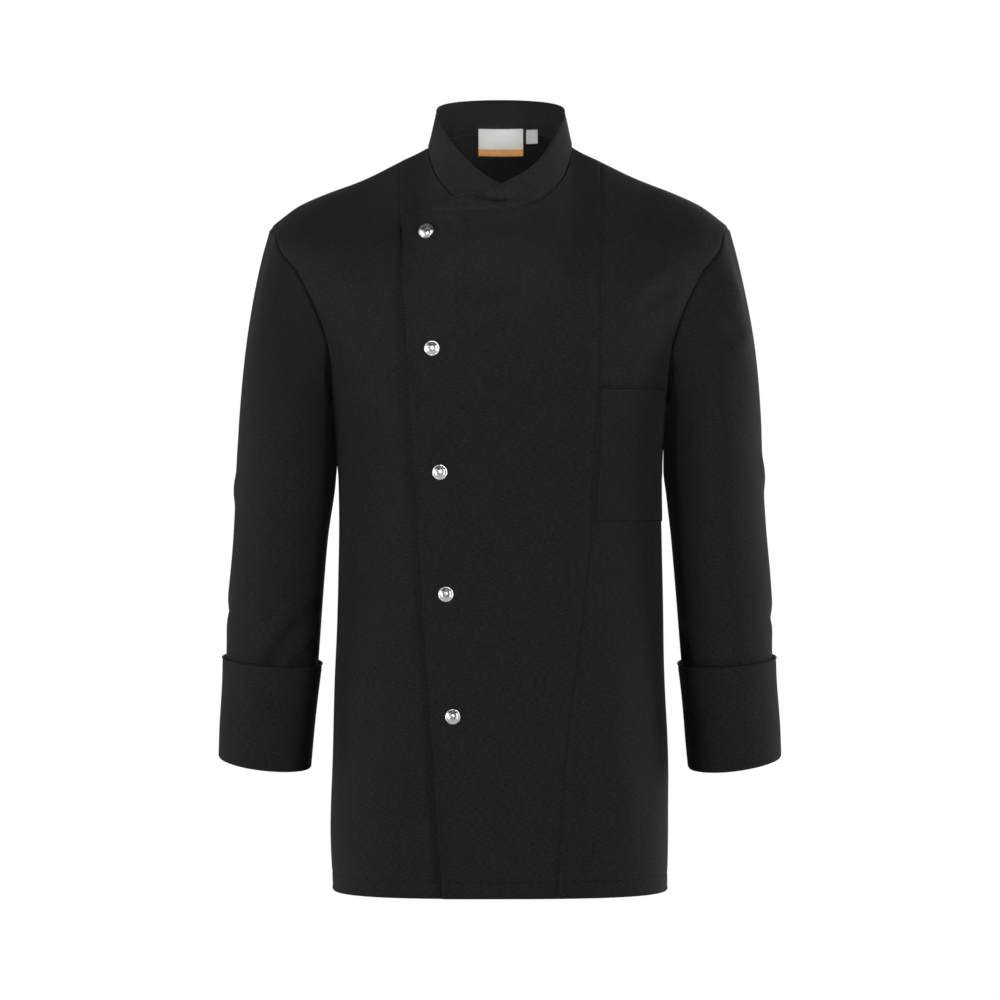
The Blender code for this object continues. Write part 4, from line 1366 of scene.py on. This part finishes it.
@dataclass
class Studio:
    """A white studio with a pale floor, soft light and a level camera."""

    distance: float = 4.2
    eye: float = -0.3636
    lens: float = 146.8
    floor: float = -1.30
    floor_radius: float = 1.3
    floor_fades: float = 0.35
    softboxes: tuple[Softbox, ...] = (
        Softbox("front_softbox", (0.0, -5.4, 0.5), (0.0, 0.0, -0.10), (1.2, 1.0), 0.60, 17.0),
        Softbox("front_panel", (-0.5, -4.7, 0.0), (0.0, 0.0, -0.30), (2.2, 2.4), 8.0),
        Softbox("neck_light", (0.0, -4.9, -0.5), (0.0, 0.0, 0.035), (0.3, 0.3), 0.14, 3.2),
        Softbox("left_softbox", (-2.4, -2.6, 0.7), (0.0, 0.0, -0.25), (0.8, 1.2), 6.0),
        Softbox("right_softbox", (2.4, -2.6, 0.7), (0.0, 0.0, -0.25), (0.8, 1.2), 19.0),
        Softbox("left_low_softbox", (-2.4, -2.4, -1.0), (0.0, 0.0, -0.50), (0.8, 0.8), 26.5),
        Softbox("right_low_softbox", (2.4, -2.4, -1.0), (0.0, 0.0, -0.50), (0.8, 0.8), 23.5),
        Softbox("left_wide_softbox", (-3.2, -1.2, 0.2), (0.0, 0.0, -0.30), (1.2, 1.8), 28.0),
        Softbox("left_strip", (-2.0, 0.5, -0.2), (0.0, 0.0, -0.35), (0.5, 1.8), 9.0),
        Softbox("right_strip", (2.0, 0.4, -0.1), (0.0, 0.0, -0.30), (0.5, 1.8), 20.5),
        Softbox("right_rim", (1.7, 1.5, -0.3), (0.0, 0.0, -0.35), (0.5, 1.8), 5.5),
        Softbox("top_softbox", (0.0, -2.2, 2.6), (0.0, 0.0, -0.10), (1.6, 1.0), 2.0),
        Softbox("back_softbox", (0.4, 3.0, 0.9), (0.0, 0.0, -0.3), (1.8, 1.8), 40.0),
    )
    # Brightness of the surroundings: low in front, in front, and what the side behind adds.
    surround: tuple = (0.50, 0.02, 0.20)

    def build(self) -> None:
        """Add the floor, the surroundings, the lights and the camera."""
        self.add_floor()
        self.add_world()
        for softbox in self.softboxes:
            softbox.hang()
        camera = bpy.data.objects.new("camera", bpy.data.cameras.new("camera"))
        camera.data.lens = self.lens
        camera.data.sensor_width = 36.0
        camera.data.clip_end = 50.0
        camera.location = (0.0, -self.distance, self.eye)
        camera.rotation_euler = (math.pi / 2, 0.0, 0.0)
        bpy.context.scene.collection.objects.link(camera)
        bpy.context.scene.camera = camera
        bpy.context.scene.view_settings.view_transform = "Standard"

    def add_floor(self) -> None:
        """A plain pale floor below the jacket, which fades into the white surroundings."""
        shape = bmesh.new()
        bmesh.ops.create_circle(shape, cap_ends=True, segments=96, radius=self.floor_radius)
        bmesh.ops.translate(shape, verts=shape.verts, vec=(0.0, 0.0, self.floor))
        mesh = bpy.data.meshes.new("floor")
        shape.to_mesh(mesh)
        shape.free()
        material, tree, shader = new_material("painted_floor")
        place = add_node(tree, "ShaderNodeTexCoord").outputs["Object"]
        flatten = {1: (1.0, 1.0, 0.0)}
        level = add_node(tree, "ShaderNodeVectorMath", {"operation": "MULTIPLY"}, flatten, {0: place})
        length = add_node(tree, "ShaderNodeVectorMath", {"operation": "LENGTH"}, {}, {0: level.outputs[0]})
        away = length.outputs["Value"]
        fades = {"From Min": self.floor_fades, "From Max": self.floor_radius, "To Min": 1.0, "To Max": 0.0}
        surface = {"Base Color": linear("#f2f2f1"), "Roughness": 0.9}
        wire(tree, shader, surface, {"Alpha": add_range(tree, away, fades, smooth=True)})
        mesh.materials.append(material)
        floor = bpy.data.objects.new("floor", mesh)
        bpy.context.scene.collection.objects.link(floor)

    def add_world(self) -> None:
        """White surroundings, brighter as a backdrop than as light, and dim behind the camera."""
        world = bpy.data.worlds.new("white_studio")
        bpy.context.scene.world = world
        world.use_nodes = True
        tree = world.node_tree
        backdrop, white = tree.nodes["Background"], (1.0, 1.0, 1.0, 1.0)
        wire(tree, backdrop, {"Color": white, "Strength": 1.0})
        way = add_node(tree, "ShaderNodeTexCoord").outputs["Generated"]
        split = add_node(tree, "ShaderNodeSeparateXYZ", {}, {}, {"Vector": way})
        low, level, behind = self.surround
        turn = {"From Min": -0.2, "From Max": 0.4, "To Min": 0.0, "To Max": behind}
        rear = add_range(tree, split.outputs["Y"], turn, smooth=True)
        rise = {"From Min": -0.5, "From Max": -0.22, "To Min": low, "To Max": level}
        sky = add_range(tree, split.outputs["Z"], rise, smooth=True)
        both = add_node(tree, "ShaderNodeMath", {"operation": "ADD"}, {}, {0: rear, 1: sky}).outputs[0]
        light = add_node(tree, "ShaderNodeBackground", {}, {"Color": white}, {"Strength": both})
        seen = add_node(tree, "ShaderNodeLightPath").outputs["Is Camera Ray"]
        shown = {0: seen, 1: light.outputs[0], 2: backdrop.outputs[0]}
        mixed = add_node(tree, "ShaderNodeMixShader", {}, {}, shown)
        wire(tree, tree.nodes["World Output"], {}, {"Surface": mixed.outputs[0]})


# ---------------------------------------------------------------- folds

LEFT_ARMHOLE = ("side_front_left", "sleeve_left")
RIGHT_ARMHOLE = ("side_front_right", "sleeve_right")
LEFT_SIDE = ("side_front_left", "back_left")
RIGHT_SIDE = ("side_front_right", "back_right")
LEFT_FRONT = ("front_left", "side_front_left", "collar")
RIGHT_FRONT = ("front_right", "side_front_right")
BACKS = ("back_left", "back_right")


def folds(view: View, pieces: Sequence[str], *rows: tuple, **form: float) -> tuple[Crease, ...]:
    """Folds drawn on one view of the jacket.

    Args:
        view: the side that they are drawn on.
        pieces: the pieces that they are raised on.
        rows: for each fold its height, its width and then the points of its line, all in millimetres.
        form: the folds' shoulders and fades, where they aren't the usual ones.

    Returns:
        The folds.
    """
    return tuple(
        Crease(view, tuple(pieces), np.array(path) * MM, height * MM, width * MM, **form)
        for height, width, *path in rows
    )


# The lap's free edge, in millimetres.
LAP_LINE = ((-99, -80), (-92, -208.5), (-80, -391.6), (-66, -615.7), (-56, -770))

CREASES = (
    # The crease between arm and body behind, which runs on below the armhole.
    *folds(View.BACK, (*LEFT_ARMHOLE, *LEFT_SIDE), (-5, 8, (196, -150), (178.5, -210), (169, -310))),
    *folds(View.BACK, (*RIGHT_ARMHOLE, *RIGHT_SIDE), (-5, 8, (-196, -150), (-178.5, -210), (-169, -310))),
    # Arm and body swell towards each other below the armpit.
    *folds(View.WEARERS_LEFT, LEFT_SIDE, (2.1, 24, (0, -245), (0, -370)), shoulders=0.0),
    *folds(View.WEARERS_RIGHT, RIGHT_SIDE, (1.3, 24, (0, -240), (0, -350)), shoulders=0.0),
    *folds(View.WEARERS_RIGHT, ("sleeve_left",), (2.1, 24, (0, -245), (0, -370)), shoulders=0.0),
    *folds(View.WEARERS_LEFT, ("sleeve_right",), (1.3, 24, (0, -240), (0, -350)), shoulders=0.0),
    # The body's edges beside the arms stand out.
    *folds(
        View.FRONT,
        ("side_front_left", "chest_pocket"),
        (2.8, 6.8, (166, -215), (158.5, -260), (155.5, -300), (154.5, -370), (155.5, -470)),
        shoulders=0.0,
        fades=0.15,
    ),
    *folds(
        View.FRONT,
        ("side_front_right",),
        (2.8, 6.8, (-166.5, -215), (-160.5, -260), (-157, -300), (-156, -370), (-157, -470)),
        shoulders=0.0,
        fades=0.15,
    ),
    # Soft folds that run from the armhole over the chest.
    *folds(
        View.FRONT,
        LEFT_FRONT,
        (2.6, 11, (95, -108), (128, -92), (172, -66)),
        (2.2, 11, (122, -158), (152, -141), (182, -124)),
        (2.2, 8, (200, -120), (179, -165), (166, -205), (159, -250)),
        (-2.4, 9, (135, -176), (160, -158), (182, -140)),
        (-2.2, 9, (118, -92), (146, -80), (175, -78)),
    ),
    *folds(
        View.FRONT,
        RIGHT_FRONT,
        (1.7, 12, (-180, -132), (-152, -150), (-128, -170)),
        (1.7, 12, (-176, -74), (-142, -90), (-116, -108)),
        (1.4, 9, (-196, -130), (-176, -165), (-166, -200)),
    ),
    # Short drag lines at the top and the bottom press stud.
    *folds(
        View.FRONT,
        LEFT_FRONT,
        (-1.2, 3.4, (-64.2, -70), (-52.1, -80), (-42.1, -93.8)),
        (1, 4.2, (-56.2, -70), (-43.1, -79), (-30.1, -87.8)),
        (0.8, 5, (-73, -99), (-56, -98), (-38, -104)),
        (-1, 3.6, (-64, -606), (-55.1, -600), (-46.1, -590)),
        (0.9, 4.5, (-59, -616), (-48, -603), (-33, -593)),
    ),
    # The dent where the collar's ends cross.
    *folds(
        View.FRONT,
        ("collar",),
        (-10, 3.6, (-28, -53), (-5, -57), (18.5, -59)),
        shoulders=0.0,
        fades=0.27,
    ),
    # The lapping edge lifts a little, and the front beneath it is pressed in.
    *folds(View.FRONT, ("front_left",), (2.4, 6.2, *LAP_LINE), shoulders=0.0, fades=0.04),
    *folds(View.FRONT, ("front_right",), (-4.2, 8.5, *LAP_LINE), shoulders=0.0, fades=0.04),
    # Soft pulls over the lower front.
    *folds(
        View.FRONT,
        LEFT_FRONT,
        (1.2, 13, (58, -585), (98, -607), (140, -628)),
        (1, 20, (-10, -690), (0, -610), (18, -540)),
        (1.2, 16, (128, -735), (124, -640), (132, -560)),
    ),
    *folds(View.FRONT, RIGHT_FRONT, (1, 18, (-118, -700), (-112, -600), (-118, -500))),
    # Folds of the sleeves above the cuffs.
    *folds(
        View.FRONT,
        ("sleeve_right",),
        (-11.5, 8.8, (-185, -452), (-195.5, -480), (-213.2, -501), (-229, -523), (-242, -544)),
        (-8.5, 7.4, (-185, -498), (-199, -518), (-215, -540)),
        fades=0.22,
    ),
    *folds(View.FRONT, ("sleeve_right",), (3, 5, (-185, -488), (-199, -509), (-218, -538))),
    *folds(
        View.FRONT,
        ("sleeve_left",),
        (-5.2, 6, (177.7, -476.5), (187, -506), (198, -540.2)),
        (1.2, 9, (199, -460), (208, -495), (220, -525)),
    ),
    # The sleeves are pressed in where they lie on the body.
    *folds(
        View.FRONT,
        ("sleeve_right",),
        (-7.5, 4.8, (-176, -200), (-170, -260), (-168, -335)),
        shoulders=0.0,
    ),
    *folds(
        View.FRONT,
        ("sleeve_left",),
        (-6.5, 4.6, (174, -205), (169.5, -260), (167.5, -325)),
        shoulders=0.0,
    ),
    # Soft folds of the sleeve heads and elbows.
    *folds(
        View.FRONT,
        ("sleeve_left",),
        (3.2, 10, (206, -115), (230, -135), (252, -170)),
        (-3, 9, (208, -170), (232, -178), (256, -205)),
        (3, 10, (230, -220), (250, -200), (264, -190)),
        (2.6, 13, (190, -340), (220, -372), (254, -386)),
    ),
    *folds(
        View.FRONT,
        ("sleeve_right",),
        (1.2, 12, (-206, -135), (-228, -155), (-248, -190)),
        (2.2, 13, (-190, -360), (-215, -390), (-250, -400)),
    ),
    *folds(
        View.FRONT,
        ("sleeve_right",),
        (2.5, 3.5, (-186, -470), (-186.5, -500), (-187.5, -535)),
        shoulders=0.0,
    ),
    # The folds of the sleeves' backs and outer sides.
    *folds(
        View.BACK,
        ("sleeve_left",),
        (-3.4, 9, (185, -330), (215, -365), (255, -374)),
        (-2.6, 8, (180, -388), (215, -406), (258, -400)),
        (-4.2, 7.5, (196, -450), (224, -486), (258, -515)),
        (2.2, 11, (200, -150), (230, -185), (250, -230)),
    ),
    *folds(
        View.BACK,
        ("sleeve_right",),
        (-3, 9, (-183, -345), (-215, -372), (-256, -370)),
        (-2.8, 8, (-184, -406), (-216, -418), (-256, -426)),
        (-4.8, 7.8, (-192, -466), (-226, -498), (-252, -530)),
        (2.2, 11, (-200, -160), (-228, -200), (-246, -250)),
    ),
    *folds(
        View.WEARERS_LEFT,
        ("sleeve_left",),
        (2.4, 11, (-45, -315), (0, -342), (43, -352)),
        (-2.6, 8, (-35, -470), (0, -486), (38, -508)),
    ),
    *folds(
        View.WEARERS_RIGHT,
        ("sleeve_right",),
        (2.4, 11, (-42, -335), (2, -356), (45, -356)),
        (-2.8, 8, (-38, -456), (0, -480), (36, -512)),
    ),
    # The folds of the backs.
    *folds(
        View.BACK,
        BACKS,
        (-2.6, 12, (172, -150), (130, -198), (85, -225)),
        (-2.4, 12, (-170, -164), (-126, -204), (-80, -218)),
        (2, 13, (156, -230), (124, -270), (98, -330)),
        (2, 13, (-158, -240), (-122, -290), (-102, -350)),
        (2.2, 19, (54, -440), (72, -570), (66, -725)),
        (2.4, 19, (-60, -420), (-66, -560), (-82, -720)),
        (1.8, 17, (-124, -480), (-118, -610), (-130, -730)),
        (1.8, 17, (122, -500), (120, -620), (118, -730)),
    ),
    # Soft dents of the cuffs.
    *folds(
        View.FRONT,
        ("cuff_left",),
        (-2.2, 7.5, (191.9, -560), (201, -595), (211, -630)),
        (2, 9, (235, -550), (245, -580), (260, -600)),
        (1.6, 7.5, (212, -548), (224, -580), (230, -615)),
        shoulders=0.0,
    ),
    *folds(
        View.FRONT,
        ("cuff_right",),
        (1.8, 8.5, (-265, -550), (-245, -570), (-225, -575)),
        (1.6, 8.5, (-245, -610), (-225, -595), (-205, -600)),
        shoulders=0.0,
    ),
)

# The cut of each piece: width, length and area, in metres and square metres.
CUTS = {
    "front_left": (0.21, 0.80, 0.122),
    "side_front_left": (0.21, 0.79, 0.114),
    "back_left": (0.29, 0.83, 0.181),
    "back_right": (0.29, 0.83, 0.181),
    "side_front_right": (0.21, 0.79, 0.121),
    "front_right": (0.175, 0.80, 0.093),
    "collar": (0.60, 0.050, 0.0205),
    "sleeve_left": (0.54, 0.55, 0.173),
    "sleeve_right": (0.54, 0.55, 0.173),
    "cuff_left": (0.354, 0.114, 0.0365),
    "cuff_right": (0.354, 0.114, 0.0365),
    "chest_pocket": (0.116, 0.140, 0.0155),
    "neck_label": (0.047, 0.028, 0.0013),
    "size_tag": (0.0125, 0.0150, 0.00018),
}


def main() -> None:
    """Build every piece of the jacket in order, then the studio."""
    logging.basicConfig(level=logging.INFO, format="%(message)s")
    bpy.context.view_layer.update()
    form = JacketForm(Cut())
    body = Body(form)
    panels = body.sheets()
    sleeves = Sleeve(form)
    sleeve, cuff = sleeves.sheet(body.degrees), sleeves.cuff(body.degrees)
    sheets = {
        **panels,
        "collar": Collar(form).sheet(body, panels),
        "sleeve_left": sleeve,
        "sleeve_right": mirror(sleeve, "sleeve_right"),
        "cuff_left": cuff,
        "cuff_right": mirror(cuff, "cuff_right"),
        "chest_pocket": Pocket(body).sheet(),
    }
    Dressing(FoldField(CREASES)).shape(list(sheets.values()))
    twill = TwillFinish().make()
    for name, sheet in sheets.items():
        width, length, area = CUTS[name]
        thickness = Pocket.cloth if name == "chest_pocket" else Workshop.CLOTH
        Workshop.sew(sheet, twill, thickness, (width, length), area, "collar")
    labels = (Label("neck_label", 0.0282, teeth=0.5 * MM), Label("size_tag", 0.0147, top=0.0219))
    behind = [sheets[name] for name in ("collar", *BACKS)]
    for label in labels:
        width, length, area = CUTS[label.node]
        tape = TapeFinish().make(banded=label.node == "neck_label")
        Workshop.sew(label.sheet(behind), tape, Label.cloth, (width, length), area, "collar", "label")
    studs = Studs(PlatedBrassFinish().make())
    for number in range(1, 6):
        studs.make(f"stud_{number}", sheets["front_left"])
    thread = ThreadFinish().make()
    collar, pocket = sheets["collar"], sheets["chest_pocket"]
    seams = (
        ("hem_stitching", Stitching(thread), panels.values(), (Edge.BOTTOM,), Body.hem_stitches),
        ("collar_stitching", Stitching(thread), (collar,), (Edge.TOP, Edge.LEFT), Collar.edge_stitches),
        # The pocket's stitches are wider than real ones, so that besides the stitching their dark thread
        # also paints the shadow lines along the pocket's mouth and bottom.
        (
            "pocket_stitching_and_painted_edge_shadow",
            Stitching(thread, length=2.8 * MM, width=1.4 * MM),
            (pocket,),
            (Edge.BOTTOM, Edge.TOP),
            Pocket.edge_stitches,
        ),
        # These stitches are also wider than real ones, so that besides the stitching their dark thread also
        # paints the shadow line along the pocket's side.
        (
            "pocket_side_stitching_and_painted_edge_shadow",
            Stitching(thread, length=1.9 * MM, width=1.3 * MM),
            (pocket,),
            (Edge.LEFT,),
            Pocket.edge_stitches,
        ),
    )
    for name, stitching, cloths, edges, inset in seams:
        stitching.sew(name, [cloth.inset(edge, inset) for cloth in cloths for edge in edges])
    Studio().build()


if __name__ == "__main__":
    main()
